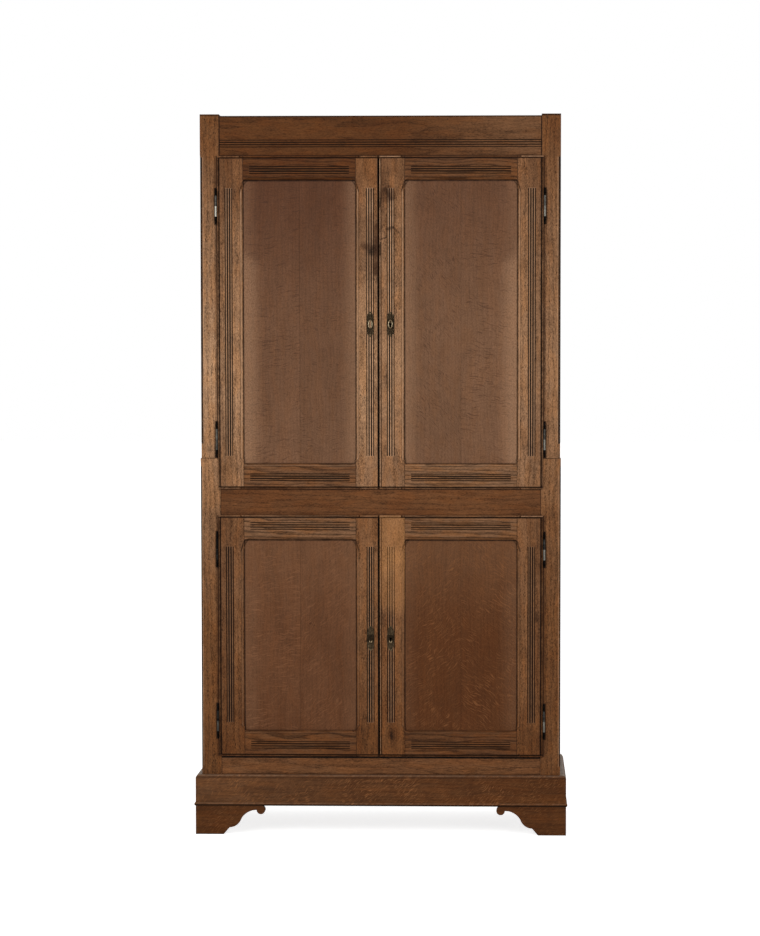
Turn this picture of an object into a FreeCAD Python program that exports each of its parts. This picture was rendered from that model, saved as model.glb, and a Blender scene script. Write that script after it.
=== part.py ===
import FreeCAD, Part
import math
import os

# An oak linen press in two parts: a lower case with two doors on a plinth with bracket feet, and an
# upper case with two taller doors, standing on the lower posts. All sizes are in millimetres.
# X runs along the front, the doors face -Y and Z is up. The origin is on the floor, in the middle.

# Plan
case_depth = 440.0           # face of the posts to the back of the back boards
lower_half_width = 550.5
upper_half_width = 548.5     # the upper case steps in a little above the seam
opening_half_width = 490.0   # between the front posts
post_depth = 44.0
plinth_proud = 18.0          # plinth face in front of the posts
bead_proud = 4.0             # bead in front of the plinth face

# Levels above the floor
foot_height = 88.5
plinth_top = 183.5
lower_opening = (245.5, 975.0)
upper_opening = (1067.5, 2067.5)
seam = 1155.5
top_rail_top = 2195.0
post_top = 2200.0

# Levels of the carcass: rails of the sides, upper faces of the bearers that carry the boards
lower_side_rail_levels = ((155.0, 255.0), (1070.5, seam))
upper_side_rail_levels = ((seam, 1230.5), (1645.0, 1715.0), (2110.0, top_rail_top))
bottom_board_level = 223.0
lower_shelf_level = 627.0
middle_board_level = 1047.5
upper_shelf_levels = (1328.0, 1608.0, 1889.0)
top_board_level = 2173.0
back_board_foot = 135.0

# Feet
bracket_thickness = 22.0
glue_block = 40.0
drop_radius = 13.0           # round drop at the end of a front bracket
drop_centre = (200.5, 75.1)  # from the outer end of the bracket, above the floor

# Case joinery
bottom_rail_height = 80.0
case_rail_thickness = 26.0
top_rail_setback = 1.0
case_tenon = 35.0
case_tenon_thickness = 10.0
tenon_shoulder = 10.0
side_rail_thickness = 24.0
side_tenon = 20.0
side_panel_thickness = 10.0
side_panel_inset = 7.0       # outer face of the side frame to the panel
panel_tongue = 8.0
board_thickness = 18.0
board_clearance = 2.0
bearer_width = 20.0
bearer_height = 25.0
bearer_tenon = 8.0
shelf_front_gap = 34.0       # face of the posts to the front edge of a shelf
back_board_thickness = 10.0
back_rebate = 12.0
back_boards_per_case = 6
back_board_gap = 1.5
back_tongue = 6.0
plinth_back_thickness = 22.0
peg_size = 14.0              # square pegs between the lower and the upper posts
peg_length = 50.0
peg_x = 520.0                # middle of a peg, clear of the side tenons
lower_post_chamfer = 4.5
upper_post_chamfer = 7.5
upper_post_chamfer_end = 2079.0

# Doors. The face stands in front of the posts, and a lip covers the edge of the opening.
door_proud = 10.0
door_thickness = 22.0
lip_overlap = 6.0
lip_gap = 0.5                # between the lip and the posts
lip_bead_width = 5.0
lip_bead_proud = 6.0         # crown of the lip's bead in front of the posts
lip_bead_chamfer = 1.8
quirk_width = 2.0
quirk_floor = 3.4            # floor of the quirk in front of the posts
opening_clearance = 2.0
hinge_stile_shoulder = 417.0
meeting_stile_shoulder = 74.5
right_meeting_edge = -3.0
left_meeting_edge = 6.0      # before mirroring, so the gap lies a little left of the centre
panel_setback = 9.5
panel_thickness = 8.0
panel_slack = 1.5
door_tenon = 45.0
door_tenon_shoulders = (22.0, 11.0)     # outer edge of the rail, and its panel edge, to the tenon
shoulder_notch = 12.0        # the stile's lip stops this far from the shoulder
shoulder_ear = 8.0           # and the rail's lip reaches this far past it
frame_chamfer = 8.5
cutter_radius = 16.0         # of the chamfers on doors and posts
cutter_sides = 20
stile_stop = 11.0            # corner of the panel to the stop of the stile's chamfer
rail_stop = 3.0

# Reeding: round reeds between narrow flat grooves that rise to the face at both ends
reed_count = 3
reed_band = 23.3
reed_flats = 4               # the round of a reed is planed in this many flats
reed_wall = 1.2              # the round starts this far below the face
reed_crown = 0.2
groove_width = 1.7
groove_depth = 2.2
reed_run_out = 6.0
reed_rail_margin = 18.0      # shoulder to the end of a rail's reeding
reed_bead_margin = 28.0      # quirk to the middle of a stile's reeding
reed_plain_margin = 24.4     # plain meeting edge to the middle of a stile's reeding
frieze_reed_level = 2111.5

# Openings of the panels, and where the reeding lies, per door
door_shapes = {
    "upper": {"opening": upper_opening, "panel": (1140.0, 1999.5), "stile_reeds": (1161.5, 1976.5),
              "rail_reeds": (1097.5, 2030.5)},
    "lower": {"opening": lower_opening, "panel": (320.5, 905.5), "stile_reeds": (344.5, 886.5),
              "rail_reeds": (275.5, 948.5)},
}

# Lift-off hinges with finials
hinge_axis = (500.2, 5.2)    # x, and distance in front of the posts
hinge_sides = 12             # knuckles, finials and pins are drawn with this many flats
knuckle_radius = 3.7
knuckle_length = 32.0
knuckle_gap = 0.4
finial_length = 23.0
finial_profile = ((0.9, 0.0), (3.2, 14.0), (2.0, 20.0), (2.6, 22.4))     # radius, distance from the tip
pin_radius = 2.2
pin_length = 24.0
pin_root = 2.0               # the pin stands this deep in its knuckle
pin_clearance = 0.05         # corner of the pin to the flats of the bore
leaf_thickness = 1.4
leaf_inset = 2.0             # end of the knuckle to the edge of the leaf
leaf_reach = 32.0
door_leaf_offset = 2.2       # axis to the front of the door's leaf
hinge_levels = {"lower": (348.5, 876.5), "upper": (1213.0, 1922.0)}

# Locks, keepers, slide bolts and escutcheons
lock_levels = {"lower": 604.5, "upper": 1563.5}
right_key_x = 31.0
left_key_x = -30.0
edge_inset = 0.2             # meeting edge of the door to the lock or the keeper
lock_half_height = 37.0
lock_width = 46.0
lock_thickness = 12.0
edge_plate_thickness = 2.0
edge_plate_overhang = 8.0
lock_bolt = (35.0, 6.0, 10.0)
lock_bolt_rise = 13.0        # key to the middle of the bolt
lock_travel = 12.0
bolt_slack = 0.3
pocket_slack = 0.5
key_radius = 3.0
keyhole_sides = 8
key_slot = (3.0, 9.0)        # width, and depth below the key's axis
keeper_width = 28.0
keeper_half_height = 18.0
slide_bolt_x = -42.0
slide_bar = (10.0, 5.0, 104.0)
slide_plate = (22.0, 2.0, 110.0)
slide_guide = (16.0, 9.0, 8.0)
slide_guide_inset = 6.0
slide_knob = (8.0, 11.0, 12.0)
slide_plate_start = 8.0      # tip of the bar to the end of the plate
slide_slack = 0.2
slide_tip_gap = 3.0
slide_travel = 14.0
escutcheon_thickness = 1.5
boss_thickness = 1.2

# Planes and levels that follow from the values above
front = -(case_depth + plinth_proud + bead_proud) / 2 + plinth_proud + bead_proud
back = front + case_depth
post_back = front + post_depth
rear_post_front = back - post_depth
rail_back = front + case_rail_thickness
door_face = front - door_proud
door_back = door_face + door_thickness
lip_edge = opening_half_width + lip_overlap
lip_back = front - lip_gap
panel_face = door_face + panel_setback
panel_back = panel_face + panel_thickness
plinth_face = front - plinth_proud
inside_back = back - back_board_thickness
top_rail_face = front + top_rail_setback
slide_bar_y = door_back + slide_plate[1] + slide_slack
bottom_rail_levels = (lower_opening[0] - bottom_rail_height, lower_opening[0])
mid_rail_levels = (lower_opening[1], upper_opening[0])
top_rail_levels = (upper_opening[1], top_rail_top)
far = 4000.0                 # past everything, for cuts


def box(x0, x1, y0, y1, z0, z1):
    corner = FreeCAD.Vector(x0, y0, z0)
    return Part.makeBox(x1 - x0, y1 - y0, z1 - z0, corner)


def outline(place, start, *steps):
    """A closed face. A step is an end point, or a point on an arc and then its end point."""
    edges = []
    first = place(*start)
    here = first
    for step in steps:
        end = place(*step[-2:])
        if len(step) == 4:
            edges.append(Part.Arc(here, place(*step[:2]), end).toShape())
        else:
            edges.append(Part.LineSegment(here, end).toShape())
        here = end
    if not here.isEqual(first, 1e-6):
        edges.append(Part.LineSegment(here, first).toShape())
    return Part.Face(Part.Wire(edges))


def on_front(x, z):
    return FreeCAD.Vector(x, 0, z)


def on_side(y, z):
    return FreeCAD.Vector(0, y, z)


def on_plan(x, y):
    return FreeCAD.Vector(x, y, 0)


def fused(shapes):
    return shapes[0].fuse(shapes[1:]).removeSplitter()


def mirrored(shape):
    return shape.mirror(FreeCAD.Vector(0, 0, 0), FreeCAD.Vector(1, 0, 0))


def both_sides(shape):
    return [shape, mirrored(shape)]


def save(name, *shapes):
    Part.makeCompound(list(shapes)).exportStep("parts/" + name + ".step")


def regular_polygon(place, radius, level, sides):
    """A regular polygon as a wire, with one corner on the first axis of its plane."""
    corners = []
    for index in range(sides + 1):
        turn = 2 * math.pi * index / sides
        corners.append(place(radius * math.cos(turn), radius * math.sin(turn), level))
    return Part.makePolygon(corners)


def chamfer_cutter(place, start, end, depth):
    """The space swept by a cone-shaped cutter between two stops, its axis square to the face."""
    margin = 1.0
    run = math.sqrt(cutter_radius ** 2 - (cutter_radius - depth) ** 2)
    quarter = cutter_sides // 4
    wires = []
    for level in (-margin, depth + margin):
        radius = cutter_radius - level
        corners = []
        for index in range(cutter_sides + 2):
            side = 1 if index <= 2 * quarter else -1
            step = index - quarter if side > 0 else index - quarter - 1
            turn = 2 * math.pi * step / cutter_sides
            middle = end - run if side > 0 else start + run
            corners.append(place(middle + radius * math.cos(turn), radius * math.sin(turn), level))
        wires.append(Part.makePolygon(corners + [corners[0]]))
    return Part.makeLoft(wires, True, True)


def upright_chamfer(x, towards, start, end, depth, face=door_face):
    """Cutter for an upright edge at x; towards is the side, +1 or -1, where there is no wood."""
    centre = x + towards * (cutter_radius - depth)
    return chamfer_cutter(lambda u, v, d: FreeCAD.Vector(centre + v, face + d, u), start, end, depth)


def level_chamfer(z, towards, start, end, depth, face=door_face):
    centre = z + towards * (cutter_radius - depth)
    return chamfer_cutter(lambda u, v, d: FreeCAD.Vector(u, face + d, centre + v), start, end, depth)


def reeding_band(length):
    """The wood taken away by one band of upright reeding, in front of the XZ plane."""
    half = reed_band / 2
    reed_width = (reed_band - (reed_count + 1) * groove_width) / reed_count
    steps = [(-half, groove_depth)]
    for index in range(reed_count):
        left = -half + groove_width + index * (reed_width + groove_width)
        steps.append((left, groove_depth))
        for flat in range(reed_flats + 1):
            turn = math.pi * flat / reed_flats
            steps.append((left + reed_width * (1 - math.cos(turn)) / 2,
                          reed_wall - (reed_wall - reed_crown) * math.sin(turn)))
        steps.append((left + reed_width, groove_depth))
    steps += [(half, groove_depth), (half, -1)]
    band = outline(on_plan, (-half, -1), *steps).extrude(FreeCAD.Vector(0, 0, length))
    band.translate(FreeCAD.Vector(0, 0, -length / 2))
    return band


def stopped_reeding(length):
    """A band of reeding whose grooves rise to the face at both ends, as the cutter leaves them."""
    end = length / 2
    side = outline(on_side, (-1, -end), (0, -end), (groove_depth, reed_run_out - end),
                   (groove_depth, end - reed_run_out), (0, end), (-1, end))
    side.translate(FreeCAD.Vector(-reed_band, 0, 0))
    return reeding_band(length + 2).common(side.extrude(FreeCAD.Vector(2 * reed_band, 0, 0)))


def upright_reeding(x, z0, z1):
    band = stopped_reeding(z1 - z0)
    band.translate(FreeCAD.Vector(x, door_face, (z0 + z1) / 2))
    return band


def level_reeding(x0, x1, z):
    band = stopped_reeding(x1 - x0)
    band.rotate(FreeCAD.Vector(0, 0, 0), FreeCAD.Vector(0, 1, 0), 90)
    band.translate(FreeCAD.Vector((x0 + x1) / 2, door_face, z))
    return band


# Plinth and feet

def plinth_profile(face):
    """Section of the plinth board: bead at the foot, quarter round and small step at the top."""
    wood = face + plinth_proud
    bead = foot_height + 5
    return [(wood, foot_height), (face - 0.5, foot_height),
            (face - bead_proud, bead, face - 0.5, foot_height + 10),
            (face, foot_height + 10), (face, plinth_top - 7.5), (face + 1.7, plinth_top - 7.5),
            (face + 3.6, plinth_top - 2.1, face + 8.2, plinth_top), (wood, plinth_top)]


def plinth_front():
    profile = outline(on_side, *plinth_profile(plinth_face))
    reach = lower_half_width + plinth_proud + bead_proud
    profile.translate(FreeCAD.Vector(-reach, 0, 0))
    board = profile.extrude(FreeCAD.Vector(2 * reach, 0, 0))
    corner = outline(on_plan, (lower_half_width, front), (lower_half_width + 40, front - 40),
                     (lower_half_width + 40, front)).extrude(FreeCAD.Vector(0, 0, 300))
    return board.cut(both_sides(corner))


def plinth_side():
    """The left side board; the corner is mitred."""
    profile = outline(on_front, *plinth_profile(-lower_half_width - plinth_proud))
    profile.translate(FreeCAD.Vector(0, front - 40, 0))
    board = profile.extrude(FreeCAD.Vector(0, back - front + 40, 0))
    corner = outline(on_plan, (-lower_half_width, front), (-lower_half_width - 40, front - 40),
                     (-lower_half_width, front - 40)).extrude(FreeCAD.Vector(0, 0, 300))
    return board.cut(corner)


def front_bracket():
    """Front foot board: toe, diagonal, step, ogee and a round drop, drawn from its outer end."""
    drop_x, drop_z = drop_centre
    shape = outline(on_front, (0, 0), (86, 0), (101.5, 18.1), (104.5, 21.2),
                    (125, 27.7, 140, 47.9), (155, 64.5, 176, 74.1),
                    (drop_x - drop_radius, drop_z),
                    (drop_x, drop_z - drop_radius, drop_x + drop_radius, drop_z),
                    (drop_x + drop_radius * 0.7, drop_z + drop_radius * 0.714, drop_x + 1, foot_height),
                    (0, foot_height))
    return shape.extrude(FreeCAD.Vector(0, bracket_thickness, 0))


def side_bracket():
    shape = outline(on_side, (0, 0), (60, 0), (76, 18.7), (79, 21.8), (103, 44.8, 114, foot_height),
                    (0, foot_height))
    return shape.extrude(FreeCAD.Vector(-bracket_thickness, 0, 0))


def front_foot():
    """Right front foot: two brackets and the glue block behind them, which stays off the floor."""
    outer = lower_half_width + plinth_proud
    inner = outer - bracket_thickness
    board_back = plinth_face + bracket_thickness
    shape = mirrored(front_bracket())
    shape.translate(FreeCAD.Vector(outer, plinth_face, 0))
    side = side_bracket()
    side.translate(FreeCAD.Vector(outer, plinth_face, 0))
    side = side.cut(box(0, far, -far, board_back, -1, far))
    block = box(inner - glue_block, inner, board_back, board_back + glue_block, 5, foot_height)
    return [shape, side, block]


def rear_foot():
    outer = lower_half_width + plinth_proud
    inner = outer - bracket_thickness
    side = side_bracket().mirror(FreeCAD.Vector(0, 0, 0), FreeCAD.Vector(0, 1, 0))
    side.translate(FreeCAD.Vector(outer, back, 0))
    block = box(inner - glue_block, inner, rear_post_front, back, 0, foot_height)
    return [side, block]


# Posts and rails of the two cases

def case_rail_tenons(levels, face):
    tenon_face = face + (case_rail_thickness - case_tenon_thickness) / 2
    reach = opening_half_width + case_tenon
    return box(-reach, reach, tenon_face, tenon_face + case_tenon_thickness,
               levels[0] + tenon_shoulder, levels[1] - tenon_shoulder)


def case_rail(levels, face):
    rail = box(-opening_half_width, opening_half_width, face, face + case_rail_thickness, *levels)
    return fused([rail, case_rail_tenons(levels, face)])


def bar_mortise(level, rises):
    """Hole for the end of a slide bolt in the edge of the mid rail."""
    depth = slide_travel + 2
    start = level if rises else level - depth
    half = slide_bar[0] / 2 + 1
    return box(slide_bolt_x - half, slide_bolt_x + half, slide_bar_y - 1, slide_bar_y + slide_bar[1] + 1,
               start, start + depth)


def mid_rail():
    mortises = [bar_mortise(mid_rail_levels[0], True), bar_mortise(mid_rail_levels[1], False)]
    return case_rail(mid_rail_levels, front).cut(mortises)


def top_rail():
    rail = case_rail(top_rail_levels, top_rail_face)
    band = reeding_band(2 * opening_half_width)
    band.rotate(FreeCAD.Vector(0, 0, 0), FreeCAD.Vector(0, 1, 0), 90)
    band.translate(FreeCAD.Vector(0, top_rail_face, frieze_reed_level))
    return rail.cut(band)


def side_rail_levels(case):
    return lower_side_rail_levels if case == "lower" else upper_side_rail_levels


def half_width(case):
    return lower_half_width if case == "lower" else upper_half_width


def side_panel_x(case):
    outer = half_width(case) - side_panel_inset
    return outer - side_panel_thickness, outer


def side_rails(case):
    """Rails of the right side frame, tenoned into the front and rear posts."""
    outer = half_width(case)
    x0, x1 = side_panel_x(case)
    rails = []
    for z0, z1 in side_rail_levels(case):
        body = box(outer - side_rail_thickness, outer, post_back, rear_post_front, z0, z1)
        tenon = box(x0, x1, post_back - side_tenon, rear_post_front + side_tenon,
                    z0 + 2 * panel_tongue, z1 - 2 * panel_tongue)
        rails.append(fused([body, tenon]).cut(side_panels(case)))
    return rails


def side_panels(case):
    x0, x1 = side_panel_x(case)
    levels = side_rail_levels(case)
    panels = []
    for below, above in zip(levels[:-1], levels[1:]):
        panels.append(box(x0, x1, post_back - panel_tongue, rear_post_front + panel_tongue,
                          below[1] - panel_tongue, above[0] + panel_tongue))
    return panels


def bearer_tops(case):
    if case == "lower":
        return (bottom_board_level, lower_shelf_level, middle_board_level)
    return upper_shelf_levels + (top_board_level,)


def bearers(case):
    """Battens housed in the posts, which carry the boards and shelves."""
    inner = half_width(case) - post_depth
    return [box(inner, inner + bearer_width, post_back - bearer_tenon, rear_post_front + bearer_tenon,
                top - bearer_height, top) for top in bearer_tops(case)]


def peg(x, y):
    half = peg_size / 2
    return box(x - half, x + half, y - half, y + half, seam - peg_length / 2, seam + peg_length / 2)


def pegs():
    return [peg(peg_x, front + post_depth / 2), peg(peg_x, back - post_depth / 2)]


def frame_leaf_slots(case):
    x = hinge_axis[0]
    slots = []
    for level in hinge_levels[case]:
        slots.append(box(x - leaf_thickness / 2, x + leaf_thickness / 2, front - 1,
                         front - hinge_axis[1] + leaf_reach, level - knuckle_length + leaf_inset,
                         level - leaf_inset))
    return slots


def front_post(case):
    """Right front post, with its mortises, grooves, leaf slots, peg hole and stopped chamfer."""
    outer = half_width(case)
    if case == "lower":
        z0, z1 = foot_height, seam
        rails = [(bottom_rail_levels, front), (mid_rail_levels, front)]
        chamfer = upright_chamfer(outer, 1, foot_height - cutter_radius, seam - 8,
                                  lower_post_chamfer, front)
    else:
        z0, z1 = seam, post_top
        rails = [(top_rail_levels, top_rail_face)]
        chamfer = upright_chamfer(outer, 1, seam - cutter_radius, upper_post_chamfer_end,
                                  upper_post_chamfer, front)
    post = box(opening_half_width, outer, front, post_back, z0, z1)
    cuts = [chamfer] + side_rails(case) + side_panels(case) + bearers(case) + pegs()
    cuts += frame_leaf_slots(case)
    cuts += [case_rail_tenons(levels, face) for levels, face in rails]
    return post.cut(cuts)


def rear_post(case):
    outer = half_width(case)
    z0, z1 = (foot_height, seam) if case == "lower" else (seam, post_top)
    post = box(outer - post_depth, outer, rear_post_front, back, z0, z1)
    rebate = box(outer - post_depth, outer - post_depth + back_rebate, back - back_board_thickness,
                 back, z0, z1)
    return post.cut([rebate] + side_rails(case) + side_panels(case) + bearers(case) + pegs())


def notched_board(case, z0, y0):
    """A board cut out round the four posts, from y0 to the back boards."""
    reach = half_width(case) - side_rail_thickness - board_clearance
    front_inner = opening_half_width - board_clearance
    rear_inner = half_width(case) - post_depth - board_clearance
    z1 = z0 + board_thickness
    board = box(-reach, reach, y0, inside_back, z0, z1)
    corners = [box(front_inner, far, y0 - 1, post_back + board_clearance, z0, z1),
               box(rear_inner, far, rear_post_front - board_clearance, far, z0, z1)]
    return board.cut([piece for corner in corners for piece in both_sides(corner)])


def back_boards(case, z0, z1):
    """Upright boards, tongued into each other and let into the rebates of the rear posts."""
    reach = half_width(case) - post_depth + back_rebate
    width = 2 * reach / back_boards_per_case
    y0 = back - back_board_thickness
    third = back_board_thickness / 3
    boards = []
    for index in range(back_boards_per_case):
        x0 = -reach + index * width
        x1 = x0 + width - (back_board_gap if index < back_boards_per_case - 1 else 0)
        board = box(x0, x1, y0, back, z0, z1)
        if index < back_boards_per_case - 1:
            tongue = box(x1, x1 + back_tongue, y0 + third, back - third, z0, z1)
            board = fused([board, tongue])
        if index > 0:
            groove = box(x0 - 1, x0 + back_tongue, y0 + third, back - third, z0 - 1, z1 + 1)
            board = board.cut(groove)
        boards.append(board)
    return boards


# Hinges

def turned(*profile):
    """A form turned about the Z axis, from radii and heights."""
    return Part.makeLoft([regular_polygon(FreeCAD.Vector, radius, height, hinge_sides)
                          for radius, height in profile], True, True)


def hinge_half(level, upwards):
    """Knuckle and finial of one hinge half, standing away from the level where the halves meet."""
    total = finial_length + knuckle_length
    shape = turned(*finial_profile, (knuckle_radius, finial_length),
                   (knuckle_radius, total - knuckle_gap / 2))
    if upwards:
        shape = shape.mirror(FreeCAD.Vector(0, 0, 0), FreeCAD.Vector(0, 0, 1))
    shape.translate(FreeCAD.Vector(hinge_axis[0], front - hinge_axis[1],
                                   level + total if upwards else level - total))
    return shape


def frame_hinge_half(level):
    """Lower half: finial, knuckle, pin and the leaf let into the post."""
    x = hinge_axis[0]
    y = front - hinge_axis[1]
    body = hinge_half(level, False)
    pin = turned((pin_radius, level - pin_root), (pin_radius, level + pin_length))
    pin.translate(FreeCAD.Vector(x, y, 0))
    leaf = box(x - leaf_thickness / 2, x + leaf_thickness / 2, y, y + leaf_reach,
               level - knuckle_length + leaf_inset, level - leaf_inset)
    return fused([body, pin, leaf])


def door_leaf(level):
    x = hinge_axis[0]
    y = front - hinge_axis[1] + door_leaf_offset
    return box(x - leaf_reach, x, y, y + leaf_thickness, level + leaf_inset,
               level + knuckle_length - leaf_inset)


def door_hinge_half(level):
    """Upper half: finial and bored knuckle, with the leaf let into the stile."""
    x = hinge_axis[0]
    y = front - hinge_axis[1]
    body = fused([hinge_half(level, True), door_leaf(level)])
    radius = (pin_radius + pin_clearance) / math.cos(math.pi / hinge_sides)
    bore = turned((radius, level - 1), (radius, level + pin_length + 1))
    bore.translate(FreeCAD.Vector(x, y, 0))
    return body.cut(bore)


# Doors, all modelled as right-hand doors; the left ones are mirrored afterwards

def lip_bead(meeting_edge, beaded, z0, z1):
    """The bead along the lip. A plain meeting edge has none."""
    crown = front - lip_bead_proud
    floor = front - quirk_floor
    inner_start = meeting_edge + lip_bead_width if beaded else meeting_edge - 1
    ring = box(meeting_edge, lip_edge, crown, floor, z0, z1)
    ring = ring.cut(box(inner_start, lip_edge - lip_bead_width, crown - 1, floor + 1,
                        z0 + lip_bead_width, z1 - lip_bead_width))
    crests = [edge for edge in ring.Edges
              if edge.BoundBox.YMax < crown + 0.1 and edge.Length > 2 * lip_bead_width]
    return ring.makeChamfer(lip_bead_chamfer, crests)


def door_blank(meeting_edge, beaded, z0, z1):
    """The whole lipped door before it is parted into stiles and rails."""
    inset = lip_bead_width + quirk_width
    tongue_inset = lip_overlap + opening_clearance
    floor = box(meeting_edge, lip_edge, front - quirk_floor, lip_back, z0, z1)
    tongue = box(meeting_edge, lip_edge - tongue_inset, lip_back, door_back,
                 z0 + tongue_inset, z1 - tongue_inset)
    field = box(meeting_edge + (inset if beaded else 0), lip_edge - inset, door_face,
                front - quirk_floor, z0 + inset, z1 - inset)
    return fused([floor, tongue, field, lip_bead(meeting_edge, beaded, z0, z1)])


def panel_box(shape, edge):
    """The panel's space; edge is how far it enters the frame."""
    return box(meeting_stile_shoulder - edge, hinge_stile_shoulder + edge, panel_face, panel_back,
               shape["panel"][0] - edge, shape["panel"][1] + edge)


def frame_chamfers(shape):
    z0, z1 = shape["panel"]
    x0 = meeting_stile_shoulder
    x1 = hinge_stile_shoulder
    uprights = [upright_chamfer(x, towards, z0 + stile_stop, z1 - stile_stop, frame_chamfer)
                for x, towards in ((x0, 1), (x1, -1))]
    levels = [level_chamfer(z, towards, x0 + rail_stop, x1 - rail_stop, frame_chamfer)
              for z, towards in ((z0, 1), (z1, -1))]
    return uprights, levels


def keyhole(x, level, y0, y1):
    """Round hole with a slot below it, right through from y0 to y1."""
    round_hole = regular_polygon(lambda u, v, y: FreeCAD.Vector(x + u, y, level + v), key_radius, y0,
                                 keyhole_sides)
    hole = Part.Face(round_hole).extrude(FreeCAD.Vector(0, y1 - y0, 0))
    slot = box(x - key_slot[0] / 2, x + key_slot[0] / 2, y0, y1, level - key_slot[1], level)
    return fused([hole, slot])


def door_frame(case, side):
    """Stiles and rails of one door, with mortise and tenon joints and all their cuts."""
    shape = door_shapes[case]
    beaded = side == "right"
    meeting_edge = right_meeting_edge if beaded else left_meeting_edge
    z0 = shape["opening"][0] - lip_overlap
    z1 = shape["opening"][1] + lip_overlap
    blank = door_blank(meeting_edge, beaded, z0, z1)
    x0 = meeting_stile_shoulder
    x1 = hinge_stile_shoulder
    inset = lip_bead_width + quirk_width
    y0 = door_face - 1
    y1 = door_back + 1
    stile_boxes = [box(meeting_edge, x0, y0, y1, z0, z1), box(x1, lip_edge, y0, y1, z0, z1)]
    lip_bands = [(z0 - 1, z0 + inset), (z1 - inset, z1 + 1)]
    rail_bands = [(z0, shape["panel"][0]), (shape["panel"][1], z1)]
    outer, inner = door_tenon_shoulders
    tenon_bands = [(z0 + outer, shape["panel"][0] - inner), (shape["panel"][1] + inner, z1 - outer)]
    tenons = [box(x0 - door_tenon, x1 + door_tenon, panel_face, panel_back, low, high)
              for low, high in tenon_bands]
    notches = [box(x0 - shoulder_notch, x1 + shoulder_notch, y0, y1, low, high)
               for low, high in lip_bands]
    groove = panel_box(shape, panel_tongue + panel_slack / 2)
    upright_cuts, level_cuts = frame_chamfers(shape)
    hinge_reed_x = lip_edge - inset - reed_bead_margin
    meeting_reed_x = meeting_edge + (inset + reed_bead_margin if beaded else reed_plain_margin)
    upright_cuts += [upright_reeding(x, *shape["stile_reeds"]) for x in (hinge_reed_x, meeting_reed_x)]
    upright_cuts += tenons + notches + [groove]
    upright_cuts += [door_leaf(level) for level in hinge_levels[case]]
    if beaded:
        upright_cuts.append(keyhole(right_key_x, lock_levels[case], y0, y1))
    stiles = [blank.common(part).cut(upright_cuts) for part in stile_boxes]
    rails = []
    for index in (0, 1):
        low, high = rail_bands[index]
        ear_low, ear_high = lip_bands[index]
        middle = box(x0, x1, y0, y1, low, high)
        ears = box(x0 - shoulder_ear, x1 + shoulder_ear, y0, y1, ear_low, ear_high)
        rail = fused([blank.common(middle), blank.common(ears), tenons[index]])
        reeds = level_reeding(x0 + reed_rail_margin, x1 - reed_rail_margin, shape["rail_reeds"][index])
        rails.append(rail.cut(level_cuts + [reeds, groove]))
    return stiles, rails


# Locks, keepers, slide bolts and escutcheons

def lock_parts(case):
    """Lock on the back of the right door: a case with a channel, and the bolt that slides in it."""
    level = lock_levels[case]
    x0 = right_meeting_edge + edge_inset
    y1 = door_back + lock_thickness
    length, depth, height = lock_bolt
    y_middle = door_back + lock_thickness / 2
    z_middle = level + lock_bolt_rise
    bolt = box(x0 + bolt_slack, x0 + bolt_slack + length, y_middle - depth / 2, y_middle + depth / 2,
               z_middle - height / 2, z_middle + height / 2)
    channel = box(x0 - 1, x0 + length + 2, y_middle - depth / 2 - bolt_slack,
                  y_middle + depth / 2 + bolt_slack, z_middle - height / 2 - bolt_slack,
                  z_middle + height / 2 + bolt_slack)
    body = box(x0, x0 + lock_width, door_back, y1, level - lock_half_height, level + lock_half_height)
    plate_half = lock_half_height + edge_plate_overhang
    plate = box(x0, x0 + edge_plate_thickness, door_back, y1, level - plate_half, level + plate_half)
    key_space = keyhole(right_key_x, level, door_back - 1, y1 + 1)
    return fused([body, plate]).cut([channel, key_space]), bolt


def keeper(case):
    """Box on the back of the left door that takes the lock's bolt."""
    z_middle = lock_levels[case] + lock_bolt_rise
    y_middle = door_back + lock_thickness / 2
    x1 = -left_meeting_edge - edge_inset
    depth, height = lock_bolt[1:]
    body = box(x1 - keeper_width, x1, door_back, door_back + lock_thickness,
               z_middle - keeper_half_height, z_middle + keeper_half_height)
    pocket = box(x1 - lock_travel - 4, x1 + 1, y_middle - depth / 2 - pocket_slack,
                 y_middle + depth / 2 + pocket_slack, z_middle - height / 2 - pocket_slack,
                 z_middle + height / 2 + pocket_slack)
    return body.cut(pocket)


def slide_bolt(tip, rises):
    """Slide bolt on the back of the left door: a plate with two guides, and a flat bar with a knob."""
    sign = 1 if rises else -1
    width, thickness, length = slide_plate
    bar_width, bar_thickness, bar_length = slide_bar
    guide_width, guide_depth, guide_height = slide_guide
    knob_width, knob_depth, knob_height = slide_knob

    def piece(size_x, y0, size_y, start, size_z):
        """A box whose near end lies start behind the tip of the bar."""
        low, high = sorted((tip - sign * start, tip - sign * (start + size_z)))
        return box(slide_bolt_x - size_x / 2, slide_bolt_x + size_x / 2, y0, y0 + size_y, low, high)

    plate = piece(width, door_back, thickness, slide_plate_start, length)
    guides = [piece(guide_width, door_back, guide_depth, slide_plate_start + offset, guide_height)
              for offset in (slide_guide_inset, length - slide_guide_inset - guide_height)]
    bar = piece(bar_width, slide_bar_y, bar_thickness, 0, bar_length)
    channel = piece(bar_width + 2 * slide_slack, slide_bar_y - slide_slack,
                    bar_thickness + 2 * slide_slack, 0, 2 * length)
    knob = piece(knob_width, slide_bar_y, knob_depth,
                 slide_plate_start + (length - knob_height) / 2, knob_height)
    return fused([plate] + guides).cut(channel), fused([bar, knob])


def four_way_outline(quarter):
    """A closed face from the points of one quarter, listed from its top to its right side."""
    right = quarter + [(x, -z) for x, z in reversed(quarter) if z > 0]
    left = [(-x, z) for x, z in reversed(right) if x > 0]
    return outline(on_front, *(right + left))


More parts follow.
